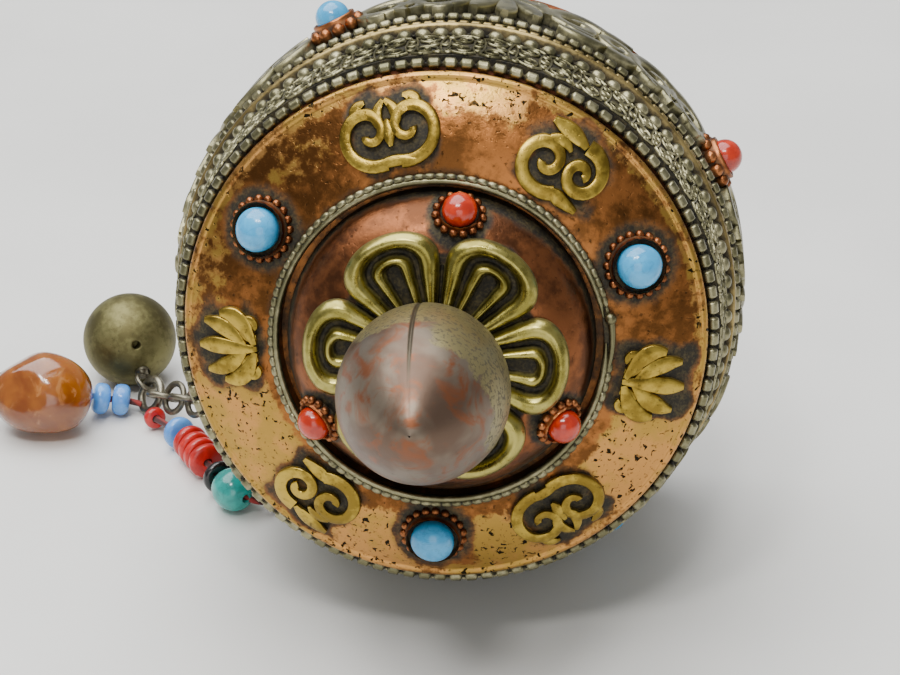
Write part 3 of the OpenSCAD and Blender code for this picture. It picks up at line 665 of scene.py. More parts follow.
def bead_profile(radius, half, power):
    """A drilled bead's closed outline: a rounded barrel outside and the cord's hole inside."""
    bore = 0.7
    t = np.linspace(-1, 1, 22)
    barrel = bore + (radius - bore) * (1 - np.abs(t) ** power) ** (1 / power)
    inside = [[bore - 0.05, half * 0.9], [bore - 0.05, -half * 0.9]]
    return np.vstack([np.stack([barrel, half * t], axis=-1), inside])


def bead(name, paint, slot_name, node, places, radius, half, power, seed=0.0):
    """Drilled beads, one at each (centre, direction), slightly uneven as hand-cut ones are."""
    shape = Shape()
    for k, (centre, way) in enumerate(places):
        def wobble(a, z):
            return 1 + 0.012 * grain(3 * a + 2 * k + seed, 5 * a + 3 * z + k)
        grid = turned_on(centre, way, bead_profile(radius, half, power), wobble=wobble)
        shape.add(table(grid), loop=True)
    return shape.build(name, paint, "weight", slot_name, node, sharp=60)


def make_strands():
    """Two short strands of threaded beads tied to the weight's ring."""
    thread_paint = thread()
    cords = []
    for side, route in (("left", LEFT_ROUTE), ("right", RIGHT_ROUTE)):
        line = smooth_route(route)
        cord = Shape().add(table(tube(line, CORD_R, 10))).build(
            f"{side}_strand_cord", thread_paint, "weight", "cord", f"{side}_cord")
        end = np.array(route[-1], float)
        t = np.linspace(0, TAU, 97)[:-1]
        loops = stack(np.sin(t) + 0.9 * np.sin(2 * t), np.cos(t) - 0.9 * np.cos(2 * t), -0.75 * np.sin(3 * t))
        knot = Shape().add(table(closed_tube(end + 0.72 * loops * KNOT_SIZE, 0.46)), loop=True)
        tail = end + np.linspace(0, 1, 8)[:, None] * np.array([0.4, 0.9, -0.3]) * 2
        knot.add(table(tube(tail, np.linspace(0.42, 0.28, 8), 8)))
        cords.append((cord, line, knot.build(
            f"{side}_strand_knot", thread_paint, "weight", "cord", f"{side}_knot")))

    def on_route(name, paint, slot_name, node, route, at, *size, seed=0.0):
        places = [(np.array(route[i], float), heading(route, i)) for i in at]
        return bead(name, paint, slot_name, node, places, *size, seed=seed)
    blue_left = on_route("left_blue_discs", blue_glass_paint, "blue_glass", "left_blue_beads",
                         LEFT_ROUTE, (1, 2), 2.45, 1.4, 2.6)
    dark = on_route("dark_seed_bead", dark_paint, "dark_seed", "dark_bead", LEFT_ROUTE, (8,), 2.9, 2.8, 2.0)
    nugget = make_nugget()
    red_thin = on_route("red_spacer_disc", red_paint, "red_bead", "red_spacer",
                        RIGHT_ROUTE, (1,), 1.7, 0.8, 2.6)
    blue_right = on_route("right_blue_disc", blue_glass_paint, "blue_glass", "right_blue_bead",
                          RIGHT_ROUTE, (3,), 2.5, 1.1, 2.6, seed=1.0)
    start, stop = np.array(RIGHT_ROUTE[4], float), np.array(RIGHT_ROUTE[6], float)
    way = unit(stop - start)
    tilts = [(0.06, 0.02), (-0.04, 0.05), (0.05, -0.05), (-0.03, -0.03)]
    first_off, pitch = 0.9, 2.1
    discs = [(start + way * (first_off + pitch * k) + np.array([0, 0, 0.05 * k]),
              unit(way + np.array([tx, ty, 0.04]))) for k, (tx, ty) in enumerate(tilts)]
    reds = bead("red_disc_beads", red_paint, "red_bead", "red_discs", discs, 2.7, 0.85, 3.2)
    black = on_route("black_disc_bead", dark_paint, "dark_seed", "black_disc",
                     RIGHT_ROUTE, (7,), 2.5, 0.8, 3.0)
    teal = on_route("teal_round_bead", teal_paint, "teal_stone", "teal_bead",
                    RIGHT_ROUTE, (8,), 3.15, 3.05, 2.0)
    on_cord = [[blue_left, nugget, dark], [red_thin, blue_right, reds, black, teal]]
    for (cord, line, knot_piece), pieces in zip(cords, on_cord):
        pieces + [knot_piece]


def make_nugget():
    """A tumbled carnelian: an ellipsoid flattened on a few facets, then softly dented."""
    lat = np.linspace(-math.pi / 2, math.pi / 2, 72)[:, None]
    lon = around(120)[None, :]
    d = stack(np.sin(lat), np.cos(lat) * np.cos(lon), np.cos(lat) * np.sin(lon))
    radius = np.full(d.shape[:2], 1.0)
    facets = [((-0.25, -0.85, 0.45), 0.86), ((0.5, -0.5, 0.7), 0.93), ((-0.6, 0.2, 0.75), 0.92),
              ((0.3, 0.8, 0.5), 0.92), ((0.1, -0.3, -0.95), 0.93), ((0.8, 0.3, -0.4), 0.93)]
    for normal, reach in facets:
        # A smooth minimum of the radius and the facet's plane
        facing = d @ unit(normal)
        cut = np.where(facing > 0.2, reach / np.maximum(facing, 1e-3), 9)
        radius = -np.log(np.exp(-14 * radius) + np.exp(-14 * cut)) / 14
    radius = radius * (1 + 0.02 * grain(5 * d[..., 0] + 3 * d[..., 1], 4 * d[..., 2] - 3 * d[..., 0]))
    body = d * (radius / radius.max())[..., None] * np.array([8.15, 6.55, 6.7])
    grid = np.array([-66.5, 45.8, 0.05 - body[..., 2].min()]) + body
    return Shape().add(table(grid)).build(
        "carnelian_stone", translucent_stone(), "weight", "carnelian", "carnelian_nugget", sharp=80)


# ---------------------------------------------------------------- weight

RING_AT, BALL_AT = np.array([-51, 52.3, 3.3]), np.array([-56.3, 62.8, 7.35])
BALL_R = 7.35
EYE_ANGLE, EYE_Z, EYE_R = math.radians(218), -43.0, 39.6
FIRST_LINK_OFF, LINK_OFF_RING, LINK_COUNT = 2.9, 3.3, 7


def from_table(metres):
    """Row-frame metres back to table millimetres."""
    return (np.asarray(metres) - strand_origin) / MM


def ring_path(centre, normal, radius, stretch=1.0, along=None):
    """A circle, or an oval stretched along a direction, in the plane square to normal."""
    w = unit(normal)
    u = unit(along - w * np.dot(along, w)) if along is not None else basis(w)[0]
    t = around(48)[:, None]
    return np.array(centre) + radius * (stretch * np.cos(t) * u + np.sin(t) * np.cross(w, u))


def make_weight():
    """The chain from the drum's eye to the ring, the ball's bail and the drilled brass ball."""
    def rim_point(r, angle):
        return from_table(lay(np.array([r * math.cos(angle), r * math.sin(angle), EYE_Z]), False))
    first = rim_point(EYE_R + FIRST_LINK_OFF, EYE_ANGLE)
    tangent = unit(rim_point(EYE_R, EYE_ANGLE + 0.01) - rim_point(EYE_R, EYE_ANGLE))
    chain_way, bail_way = unit(first - RING_AT), unit(BALL_AT - RING_AT)
    normal = unit(np.cross(chain_way, bail_way))
    step = (np.linalg.norm(first - RING_AT) - LINK_OFF_RING) / LINK_COUNT
    chain = Shape().add(table(closed_tube(ring_path(first, tangent, 2.3), 0.5, 12)), loop=True)
    for i in range(LINK_COUNT):
        centre = RING_AT + chain_way * (LINK_OFF_RING + i * step)
        facing = np.cross(chain_way, normal) if i % 2 == 0 else normal
        chain.add(table(closed_tube(ring_path(centre, facing, 2.25, 1.04, chain_way), 0.5, 12)), loop=True)
    chain.build("chain_links", link_paint, "weight", "steel", "weight_chain")
    ring = Shape().add(table(closed_tube(ring_path(RING_AT, normal, 2.5), 0.65, 14)), loop=True)
    ring.build("strand_ring", link_paint, "weight", "steel", "weight_ring")

    eye = ring_path(RING_AT + bail_way * 2.9, np.cross(bail_way, normal), 1.6)
    bail = Shape().add(table(closed_tube(eye, 0.4, 12)), loop=True)
    reach = np.linalg.norm(BALL_AT - RING_AT) - BALL_R
    neck = [(0.55, 4.2), (0.8, 4.35), (0.62, 4.6), (0.9, 4.9), (1.2, reach - 0.35), (1.2, reach + 0.5)]
    bail.add(table(turned_on(RING_AT, bail_way, neck, 32)))
    bail.build("ball_loop", link_paint, "ball", "steel", "ball_bail")

    # The ball's profile starts in the drilled hole's wall, on the side that faces the camera
    hole_way = unit(np.array([2.4, -6.2, 2.4]))
    t = np.linspace(0.105, math.pi, 90)
    outside = np.stack([BALL_R * np.sin(t), BALL_R * np.cos(t)], axis=-1)
    hole = [[0.55, BALL_R * 0.62], [0.62, BALL_R * 0.97], [0.72, BALL_R * 0.99]]
    profile = np.vstack([hole, outside[:-1]])

    def wobble(a, z):
        return 1 + 0.004 * grain(3 * a + z, 2 * a - 0.7 * z)
    relief = np.where(np.arange(len(profile)) < 2, 0.0, 1.0)[:, None]
    Shape().add(table(turned_on(BALL_AT, hole_way, profile, 128, wobble)), relief).build(
        "brass_weight", ball_paint, "ball", "ball_brass", "weight_ball", sharp=50)


# ---------------------------------------------------------------- placing ornament

def seat(angle, r, z, tilt):
    """Carries local points onto a place on the wheel: local z stands up from the surface there,
    and x points away from the spindle. Angles are in degrees."""
    a, t = math.radians(angle), math.radians(tilt)

    def place(p):
        p = np.asarray(p, float)
        out = r + p[..., 0] * math.cos(t) + p[..., 2] * math.sin(t)
        up = z - p[..., 0] * math.sin(t) + p[..., 2] * math.cos(t)
        return lay(stack(out * math.cos(a) - p[..., 1] * math.sin(a),
                         out * math.sin(a) + p[..., 1] * math.cos(a), up))
    return place


def on_cap(angle):
    """A cap stone's seat."""
    return seat(angle, CAP_STONE_AT, cap_z(CAP_STONE_AT), 18)


def on_dome(angle):
    """A dome stone's seat."""
    r, z = dome_point(math.radians(42))
    return seat(angle, r, z, 50)


def on_side(angle):
    """A belt stone's seat, its heights counted from the spindle."""
    return seat(angle, 0, MID_Z, 90)


def granule(shape, place, centre, radius):
    """A small ball of a few dozen faces, dark at its foot."""
    ball = unit_ball(np.radians([-60, -20, 20, 60]), 8)
    shape.add(place(np.array(centre) + radius * ball), relief=0.25 + 0.75 * (0.5 + 0.5 * ball[..., 2]))


def bezel(shape, place, inner, outer, low, high, floor, count, grain_r, grain_z, notch):
    """A soldered cup with a rolled lip, and a ring of granules round its foot."""
    profile = np.array([
        (outer, low), (outer, high - 0.75), (outer - 0.14, high - 0.55), (outer - 0.1, high - 0.3),
        (outer - 0.2, high - 0.06), ((inner + outer) / 2, high), (inner + 0.16, high - 0.06),
        (inner + 0.03, high - 0.3), (inner, floor + 0.05), (inner - 0.1, floor)])
    relief = np.array([0.1, 0.35, 0.5, 0.85, 1.0, 1.0, 0.9, 0.4, 0.0, 0.0])
    a = around(64)
    lift = 1 + notch * (np.cos(count * a) * (profile[:, 1:] > high - 0.2))
    shape.add(place(polar(profile[:, :1] * lift, a, profile[:, 1:])), relief=relief[:, None])
    for k in range(count):
        b = TAU * (k + 0.3) / count
        centre = (grain_r * math.cos(b), grain_r * math.sin(b), grain_z)
        granule(shape, place, centre, math.pi * grain_r / count * 0.98)


def cabochon(shape, place, radius, base, wall, crown, seed):
    """A rounded stone: a short wall under a low dome, a little uneven."""
    t = np.linspace(0.02, math.pi / 2, 22)[:-1]
    crown_line = np.stack([radius * np.cos(t), base + wall + crown * np.sin(t)], axis=-1)
    profile = np.vstack([[radius * 0.7, base], [radius - 0.1, base], [radius, base + 0.15], crown_line])
    a = around(64)
    uneven = 1 + 0.012 * np.cos(2 * a + seed) + 0.008 * np.cos(3 * a - 2 * seed)
    shape.add(place(polar(profile[:, :1] * uneven, a, profile[:, 1:])))


def teeth_along(count, steps):
    """Where each of count * steps samples lies in its own tooth, from -1 to 1."""
    return (np.arange(count * steps) % steps + 0.5) / steps * 2 - 1


def milled_wire(shape, ring_r, wire_r, z, teeth, floor, square, steps=12, sides=12):
    """A beaded wire round the drum. Each tooth swells from floor to the full radius: with square
    set, as a rounded block, and otherwise as a ball."""
    a = around(teeth * steps)
    phase = teeth_along(teeth, steps)
    tooth = np.arange(teeth)
    uneven = 1 + 0.05 * np.repeat(np.sin(tooth * 2.4 + teeth) * np.cos(tooth * 5.3), steps)
    if square:
        swell = smoothstep(0.9, 0.6, np.abs(phase))
    else:
        swell = np.sqrt(np.maximum(0, 1 - (phase / 0.8) ** 2))
    radius = (wire_r * (floor + (1 - floor) * swell * uneven))[:, None]
    b = around(sides)
    grid = polar(ring_r + radius * np.cos(b), a[:, None], z + radius * np.sin(b))
    shape.add(lay(grid), relief=np.clip(swell * 1.2 - 0.1, 0, 1)[:, None], loop=True)


def mirrored(p):
    """Laid on the drum's other half."""
    p = np.array(p, float)
    p[..., 2] = -DRUM_H - p[..., 2]
    return lay(p)


# ---------------------------------------------------------------- cap

def angle_gap(angle, centre):
    """How far angles are from a centre, in degrees."""
    return np.abs((angle - centre + 180) % 360 - 180)


def away_from(x, y, r, degrees):
    """Distance in plan from the point at a radius and an angle."""
    a = math.radians(degrees)
    return np.hypot(x - r * math.cos(a), y - r * math.sin(a))


def cap_fields(r, angle):
    """How clean and how golden the cap's copper is: dark round its stones, its ornaments and the twisted
    ring; golden along its rolled outer edge, partly patina and partly a painted reflection; and rubbed golden
    on the parts that stand out most."""
    x, y = r * np.cos(np.radians(angle)), r * np.sin(np.radians(angle))
    relief = smoothstep(21.6, 24.2, r) * 0.55 + 0.45
    for c in CAP_STONES:
        relief = np.minimum(relief, 0.12 + 0.88 * smoothstep(4.0, 7.4, away_from(x, y, CAP_STONE_AT, c)))
    for c in CAP_ORNAMENTS:
        a = math.radians(c)
        out = x * math.cos(a) + y * math.sin(a) - ORNAMENT_AT
        along = -x * math.sin(a) + y * math.cos(a)
        d = np.sqrt(np.maximum(np.abs(out) - 2.6, 0) ** 2 + np.maximum(np.abs(along) - 2.9, 0) ** 2)
        d = d + 0.5 * np.sin(0.9 * along + c) + 0.4 * np.sin(1.3 * out - 2 * c)
        relief = np.minimum(relief, 0.1 + 0.9 * smoothstep(1.1, 4.6, d))
    # Golden band along the rolled outer edge: partly patina, partly a painted reflection
    gild = 0.62 * smoothstep(31.0, 32.8, r)
    for centre, half, inner, strength in RUBBED_ZONES:
        wide = smoothstep(half, half * 0.55, angle_gap(angle, centre))
        gild = np.maximum(gild, strength * wide * smoothstep(inner - 1.5, inner + 2, r))
    return relief, gild * smoothstep(0.2, 0.6, relief)


def make_cap_plate():
    """The cap's copper plate: z = rise * (1 - ((r - 21.4) / 12.6)^1.6), out to a rolled edge,
    with a rim that goes down inside the drum and a step in towards the spindle."""
    r = np.linspace(CAP_INNER_R, 32.75, 64)
    roll = np.radians(np.linspace(115, -120, 22))
    back = r[-8::-3][:-1]
    profile = np.vstack([
        [[6.0, 2.4], [6.0, 3.2], [20.7, 3.2]], np.stack([r, cap_z(r)], axis=-1),
        np.stack([33.3 + 0.7 * np.cos(roll), 0.7 * np.sin(roll)], axis=-1),
        [[32.3, -0.5], [32.3, -4], [31.5, -4], [31.5, 0.5]],
        np.stack([back, cap_z(back) - 0.8], axis=-1), [[21.8, 2.4]]])
    a = around(720)
    uneven = 0.05 * grain(3 * a + 1, 5 * a, 11 * a + 2) * smoothstep(22, 26, profile[:, :1])
    relief, gild = cap_fields(profile[:, :1], np.degrees(a)[None, :])
    under = np.arange(len(profile)) > len(r) + 3 + len(roll)
    relief = np.where(under[:, None], 0.3, relief)
    Shape().add(lay(polar(profile[:, :1], a, profile[:, 1:] + uneven)), relief, gild, loop=True).build(
        "cap_plate_copper", copper_paint, "cap", "copper", "cap_plate", sharp=60)


def scroll_motifs():
    """Three generic ornaments as (line, half width) pairs on a flat patch: x is outward, y along
    the rim. Paired volutes round a bud, a curling cloud, and a spray of leaves."""
    bud, spray = [], []
    for s in (-1, 1):
        bud += [
            volute((-3.7, 0.9 * s), (0.3, 2.6 * s), -1.25 * s, 0.55, 44, 0.85, 0.5),
            blade((0.4, 0.6 * s), (1.4, 1.6 * s), (2.6, 1.5 * s), (3.9, 0.1 * s), 18, 0.5, 0.4, 0.75),
            blade((2.0, 3.9 * s), (3.0, 4.3 * s), (3.8, 3.6 * s), (4.0, 2.5 * s), 14, 0.4, 0.3, 0.8)]
        spray += [
            blade((-3.6, 0.5 * s), (-2.6, 3.2 * s), (-1.2, 4.8 * s), (0.9, 4.4 * s), 22, 0.55, 0.35, 1.2),
            blade((-2.4, 0.3 * s), (-0.8, 1.8 * s), (0.8, 3.2 * s), (3.2, 3.3 * s), 22, 0.6, 0.3, 1.15),
            volute((-3.9, 1.2 * s), (-3.3, 2.9 * s), 0.9 * s, 0.4, 26, 0.6, 0.45)]
    bud += [blade((-3.9, -2.6), (-3.3, -0.8), (-3.3, 0.8), (-3.9, 2.6), 22, 0.5, 0.6, 0.75),
            blade((-1.6, 0), (-0.6, 0.1), (0.4, 0.1), (1.6, 0), 16, 0.55, 0.3, 0.85)]
    spray += [blade((-3.9, 0), (-1, 0.3), (1.4, -0.3), (4.1, 0), 26, 0.7, 0.35, 1.15)]
    cloud = [volute((3.4, -1.2), (0.2, -2.2), -1.35, 0.5, 46, 0.95, 0.55),
             volute((-3.4, -0.6), (-0.6, 2.4), -1.3, 0.5, 46, 0.95, 0.55),
             blade((-3.8, -4.2), (-3.6, -2.4), (-3.6, -1.2), (-3.2, 0.2), 20, 0.6, 0.4, 0.95),
             blade((3.9, 4.4), (3.9, 2.6), (3.9, 0.6), (3.2, -1.0), 22, 0.5, 0.4, 0.95),
             blade((2.0, 3.6), (2.6, 2.6), (2.6, 1.4), (1.9, 0.4), 14, 0.5, 0.35, 0.7)]
    return [bud, cloud, spray]


def make_cap_ornaments():
    """Six brass scroll ornaments soldered round the cap."""
    shape = Shape()
    motifs = scroll_motifs()
    for k, angle in enumerate(CAP_ORNAMENTS):
        a = math.radians(angle)

        def onto(x, y, up):
            out = ORNAMENT_AT + x
            r = np.hypot(out, y)
            r_in = np.clip(r, TWIST_R + 1.0, 32.9)
            out, y = out * r_in / r, y * r_in / r
            return lay(stack(out * math.cos(a) - y * math.sin(a), out * math.sin(a) + y * math.cos(a),
                             cap_z(r_in) + up))
        for i, (line, half) in enumerate(motifs[k % 3]):
            stroke(shape, line, half, 0.92 - 0.05 * (i % 3), onto)
    shape.build("cap_scrollwork", brass_paint, "cap", "brass", "cap_ornaments", sharp=50)


def make_twisted_ring():
    """A wire round the cap's step, smooth inside and scalloped outside. Its ends overlap, and
    the outer one finishes in a small ball."""
    shape = Shape()
    teeth, steps = 100, 12
    along = (np.arange(teeth * steps) + 0.5) / (teeth * steps)
    a = math.radians(10) + math.radians(351) * along
    tooth = np.arange(teeth)
    uneven = 1 + 0.08 * np.repeat(np.sin(tooth * 1.9) * np.cos(tooth * 4.1), steps)
    swell = (1 - np.abs(teeth_along(teeth, steps)) ** 2.4) ** 0.6 * uneven
    ends = np.minimum(1, 0.35 + 30 * np.minimum(along, 1 - along))
    for r, z, radius, relief in ((21.12, 6.0, 0.44 * ends, 0.9 + 0 * a),
                                 (21.72, 5.95, 0.5 * (0.42 + 0.58 * swell) * ends, swell * 0.95)):
        shape.add(lay(tube(polar(r, a, z), radius, 10)), relief=relief[:, None])
    at = polar(22.0, math.radians(9.5), 6.4)
    shape.add(lay(at + 0.78 * unit_ball(np.linspace(-1.45, 1.45, 16), 24)))
    t = np.linspace(0, 1, 30)
    path = polar(22.0 - 0.35 * t ** 2, np.radians(np.linspace(9, -7, 30)), 6.35 - 0.25 * t)
    shape.add(lay(tube(path, np.linspace(0.5, 0.3, 30), 10)), relief=0.95)
    # A low wall of metal under the wire closes the step in the cap; it is painted dark as shade, under the
    # wire and in the gap inside the ring
    foot = [(20.95, 4.6), (20.95, 5.9), (21.7, 5.9), (21.7, 4.9)]
    shape.add(turned(foot, 360), relief=0.1, loop=True)
    shape.build("twisted_wire_ring", white_paint, "cap", "white_metal", "twisted_ring", sharp=70)


def make_dome():
    """The copper dome inside the ring: r = 12 + 7.8 cos a, z = 4 + 7.5 sin a, hollow."""
    r, z = dome_point(np.linspace(0, math.pi / 2, 56))
    profile = np.vstack([[[DOME_FOOT_R - 0.8, 3.3], [DOME_FOOT_R, 3.3]], np.stack([r, z], axis=-1),
                         [[8, 11.5], [3.6, 11.5], [3.6, 10.8], [10, 10.8]],
                         np.stack([r[::-5] - 0.8, z[::-5] - 0.5], axis=-1)[2:]])
    b = around(480)
    height = profile[:, 1:]
    dent = 0.06 * grain(2 * b + 1, 5 * b + 3, 7 * b) * smoothstep(4, 7, height)
    grid = polar(profile[:, :1] + dent, b, height)
    # Painted shade: the dome is painted darker towards its foot, as the shade in the gap inside the twisted
    # ring
    relief = 0.08 + 0.85 * smoothstep(5.6, 8.6, height + 0.6 * np.cos(3 * b))
    for c in DOME_STONES:
        d = away_from(grid[..., 0], grid[..., 1], 17.8, c)
        relief = np.minimum(relief, 0.1 + 0.9 * smoothstep(3.2, 5.4, d))
    # Painted shade under the rosette and along its outline: the dome is painted dark there
    d = 15.2 + 1.6 * np.cos(6 * (b - FIRST_PETAL)) - profile[:, :1]
    relief = np.where(height > 9, np.minimum(relief, 0.2 + 0.8 * smoothstep(0.7, -0.5, d)), relief)
    Shape().add(lay(grid), relief, 0.0, loop=True).build(
        "cap_dome_copper", dome_paint, "cap", "copper", "cap_dome", sharp=60)


LOTUS_HEAD_R, LOTUS_OUT_R, PETAL_HALF = 12.0, 16.8, math.radians(28.3)


def make_lotus():
    """A rosette of six petals, each an outer ridge round a dark groove, an inner ridge and a slot.
    L = (|t / 28.3|^2.3 + |(r - 12) / 4.8|^2.3)^(1 / 2.3) is 0 on a petal's middle line and 1 on
    its edge, t being the angle off the middle in degrees; inside r = 12 the sides are straight."""
    angle = around(1080)
    off = (angle - FIRST_PETAL + math.pi / 6) % (math.pi / 3) - math.pi / 6
    side = np.abs(off) / PETAL_HALF
    reach = LOTUS_OUT_R - LOTUS_HEAD_R
    edge = LOTUS_HEAD_R + reach * (1 - np.minimum(side, 1) ** 2.3) ** (1 / 2.3)
    edge = np.maximum(edge, LOTUS_HEAD_R - 0.4)
    r = 4.0 + np.linspace(0, 1, 84)[:, None] * (edge - 4.0)
    level = (side ** 2.3 + (np.maximum(0, (r - LOTUS_HEAD_R) / reach)) ** 2.3) ** (1 / 2.3)

    def ridge(low, high, power):
        x = np.clip((level - low) / (high - low), 0, 1) * 2 - 1
        return (1 - np.abs(x) ** power) * (level > low) * (level < high)
    relief = np.maximum(ridge(0.56, 1.04, 2.4), ridge(0.14, 0.47, 2.2) * 0.82)
    z = 11.85 + 1.65 * relief * (0.55 + 0.45 * smoothstep(4.0, 7.5, r)) - 0.12 * (r - 11) / 5
    z = z + 0.04 * grain(7 * angle + r, 13 * angle - 2 * r)
    rows = [polar(r, angle, z)]
    rows += [polar(np.maximum(edge[None, :] - inset, 4.0), angle, low)
             for inset, low in ((0.0, 11.56), (0.6, 11.5), (6.0, 11.5))]
    rows += [polar(3.6, angle[None, :], low) for low in (11.5, 11.9)]
    relief = np.vstack([np.clip(relief * 1.25, 0, 1), np.full((5, len(angle)), 0.35)])
    Shape().add(lay(np.vstack(rows)), relief, 0.0, loop=True).build(
        "lotus_petals", lotus_paint, "cap", "brass", "lotus_rosette", sharp=70)


def make_cap_stones():
    """Three turquoises on the cap and three corals on the dome, in granulated cups."""
    cups, stones = Shape(), Shape()
    for k, angle in enumerate(CAP_STONES):
        bezel(cups, on_cap(angle), 3.3, 3.72, -1.4, 1.6, 0.6, 19, 3.85, 0.12, 0.015)
        cabochon(stones, on_cap(angle), 2.82, 0.62, 1.05, 2.2, 2.1 * k)
    cups.build("cap_bezel_cups", bezel_paint, "cap", "copper", "cap_bezels", sharp=60)
    stones.build("cap_turquoise_stones", turquoise_paint, "cap", "turquoise", "cap_turquoises", sharp=60)
    cups, stones = Shape(), Shape()
    for k, angle in enumerate(DOME_STONES):
        bezel(cups, on_dome(angle), 2.4, 2.85, -1.4, 0.95, 0.4, 15, 2.95, 0.1, 0.02)
        cabochon(stones, on_dome(angle), 2.22, 0.42, 0.75, 2.0, 1.3 * k + 0.4)
    cups.build("dome_bezel_cups", bezel_paint, "cap", "copper", "dome_bezels", sharp=60)
    stones.build("dome_coral_stones", coral_paint, "cap", "coral", "dome_corals", sharp=60)


# ---------------------------------------------------------------- finial

def make_bulb():
    """The finial: r = 10.5 sqrt(1 - ((27 - z) / 15.2)^2) below its fullest and
    r = 10.5 (1 - k^2.1)^0.74 above, k running from 0 at z = 27 to 1 at the tip, with a soldered seam."""
    foot_z, tip_ball_z, tip_ball_r = 13.45, 42.3, 0.62
    z_low = np.linspace(foot_z, BULB_MID_Z, 50)
    k = np.linspace(0, 1, 90)[1:]
    r_low = BULB_R * np.sqrt(1 - ((BULB_MID_Z - z_low) / 15.2) ** 2)
    z_high = BULB_MID_Z + (TIP_Z - BULB_MID_Z) * k
    tip_ball = tip_ball_r * np.sqrt(np.maximum(0, 1 - ((z_high - tip_ball_z) / 0.9) ** 2))
    r_high = np.maximum(BULB_R * (1 - k ** 2.1) ** 0.74, tip_ball)
    outside = np.stack([np.append(r_low, r_high), np.append(z_low, z_high)], axis=-1)[:-1]
    inside = outside[6:-14:6][::-1] - np.array([0.75, 0.0])
    profile = np.vstack([[[3.3, foot_z]], outside, [[0.12, TIP_Z - 0.02], [0.1, TIP_Z - 1.6]],
                         inside, [[3.3, foot_z + 0.7]]])
    a = around(560)
    r, z = profile[:, :1], profile[:, 1:]
    row = np.arange(len(profile))[:, None]
    out_rows = (row > 0) & (row <= len(outside))
    across_seam = ((a - math.radians(96) + math.pi) % TAU - math.pi) * r
    above = smoothstep(17, 19.5, z) * smoothstep(42.6, 41.6, z)
    fading = 1 - 0.75 * smoothstep(34, 41, z)
    groove = np.exp(-(across_seam / 0.2) ** 2) * above * fading * out_rows
    uneven = 0.035 * grain(2 * a + 0.2 * z, 3 * a - 0.35 * z) * out_rows
    grid = polar(np.maximum(r - 0.16 * groove + uneven * smoothstep(0, 4, r), 0.05), a, z)
    degrees = np.degrees(a)[None, :]
    shoulder = smoothstep(80, 35, angle_gap(degrees, 25)) * smoothstep(37.5, 31.5, z)
    top = smoothstep(65, 25, angle_gap(degrees, 95)) * smoothstep(33.0, 28.5, z)
    gild = np.maximum(np.maximum(shoulder, top), 0.45 * smoothstep(30, 25, z))
    relief = 1 - np.clip(1.1 * np.exp(-(across_seam / 0.34) ** 2) * above * fading, 0, 1)
    Shape().add(lay(grid, False), relief, gild, loop=True).build(
        "finial_bulb_copper", bulb_copper(), "finial", "smoked_copper", "finial_bulb", sharp=75)


# ---------------------------------------------------------------- drum

def make_drum_wires():
    """Beaded wires round the drum: blocks at its ends, balls inside them, and fine teeth on the belt."""
    hoop_line = [(36.2, -13.75), (37.3, -13.75), (37.62, -13.95), (37.7, -14.2), (37.62, -14.45),
                 (37.3, -14.65), (37.0, -16.4), (36.2, -16.4)]
    hoop_relief = np.array([0.1, 0.4, 0.9, 1, 0.9, 0.4, 0.1, 0.1])[:, None]
    for side, z_of in (("front", lambda z: z), ("back", lambda z: -DRUM_H - z)):
        for kind, node, ring_r, wire_r, z, teeth, floor, square in (
                ("rim", "rim", 34.65, 0.76, -1.45, 104, 0.25, True),
                ("ball", "inner", 36.4, 0.88, -12.5, 96, 0.22, False)):
            wire = Shape()
            milled_wire(wire, ring_r, wire_r, z_of(z), teeth, floor, square)
            wire.build(f"{kind}_wire_{side}", white_paint, "drum", "white_metal",
                       f"{node}_beads_{side}", sharp=70)
        hoop = Shape()
        hoop.add(turned([(r, z_of(z)) for r, z in hoop_line], 360), relief=hoop_relief, loop=True)
        milled_wire(hoop, 37.15, 0.6, z_of(-15.55), 150, 0.4, True, 8, 10)
        hoop.build(f"hoop_{side}", hoop_paint, "drum", "brass", f"brass_hoop_{side}", sharp=70)
    teeth = Shape()
    for z in (MID_Z - 7.5, MID_Z + 7.5):
        milled_wire(teeth, 37.75, 0.64, z, 130, 0.35, True, 8, 10)
    teeth.build("belt_teeth", white_paint, "drum", "white_metal", "belt_beads", sharp=70)


def filigree_unit():
    """One repeat of the wirework, 8.7 mm wide and 8.8 mm tall, as flat lines: facing spirals,
    small rings, and waves that tie them together."""
    lines = []
    for s in (-1, 1):
        lines += [curl((0.3 * s, 3.6), (2.0 * s, 2.5), -1.8 * s, 0.28),
                  curl((0.3 * s, -3.6), (2.0 * s, -2.3), 1.8 * s, 0.28),
                  bezier((0.3 * s, 3.6), (0.9 * s, 1.2), (0.9 * s, -1.2), (0.3 * s, -3.6), 12),
                  bezier((4.3 * s, 3.9), (3.6 * s, 1.6), (3.6 * s, -1.6), (4.3 * s, -3.9), 12)]
    t = np.linspace(0, TAU, 15)
    circle = np.stack([np.cos(t), np.sin(t)], axis=-1)
    rings = [(0, 0, 0.62), (2.9, 0.1, 0.6), (-2.9, 0.1, 0.6), (4.3, 0, 0.55), (0, 2.2, 0.42), (0, -2.2, 0.42)]
    rings += [(x * s, y * u, r) for x, y, r in ((3.7, 3.5, 0.45), (1.5, 4.0, 0.34))
              for u in (1, -1) for s in (1, -1)]
    return lines + [np.array([x, y]) + r * circle for x, y, r in rings]


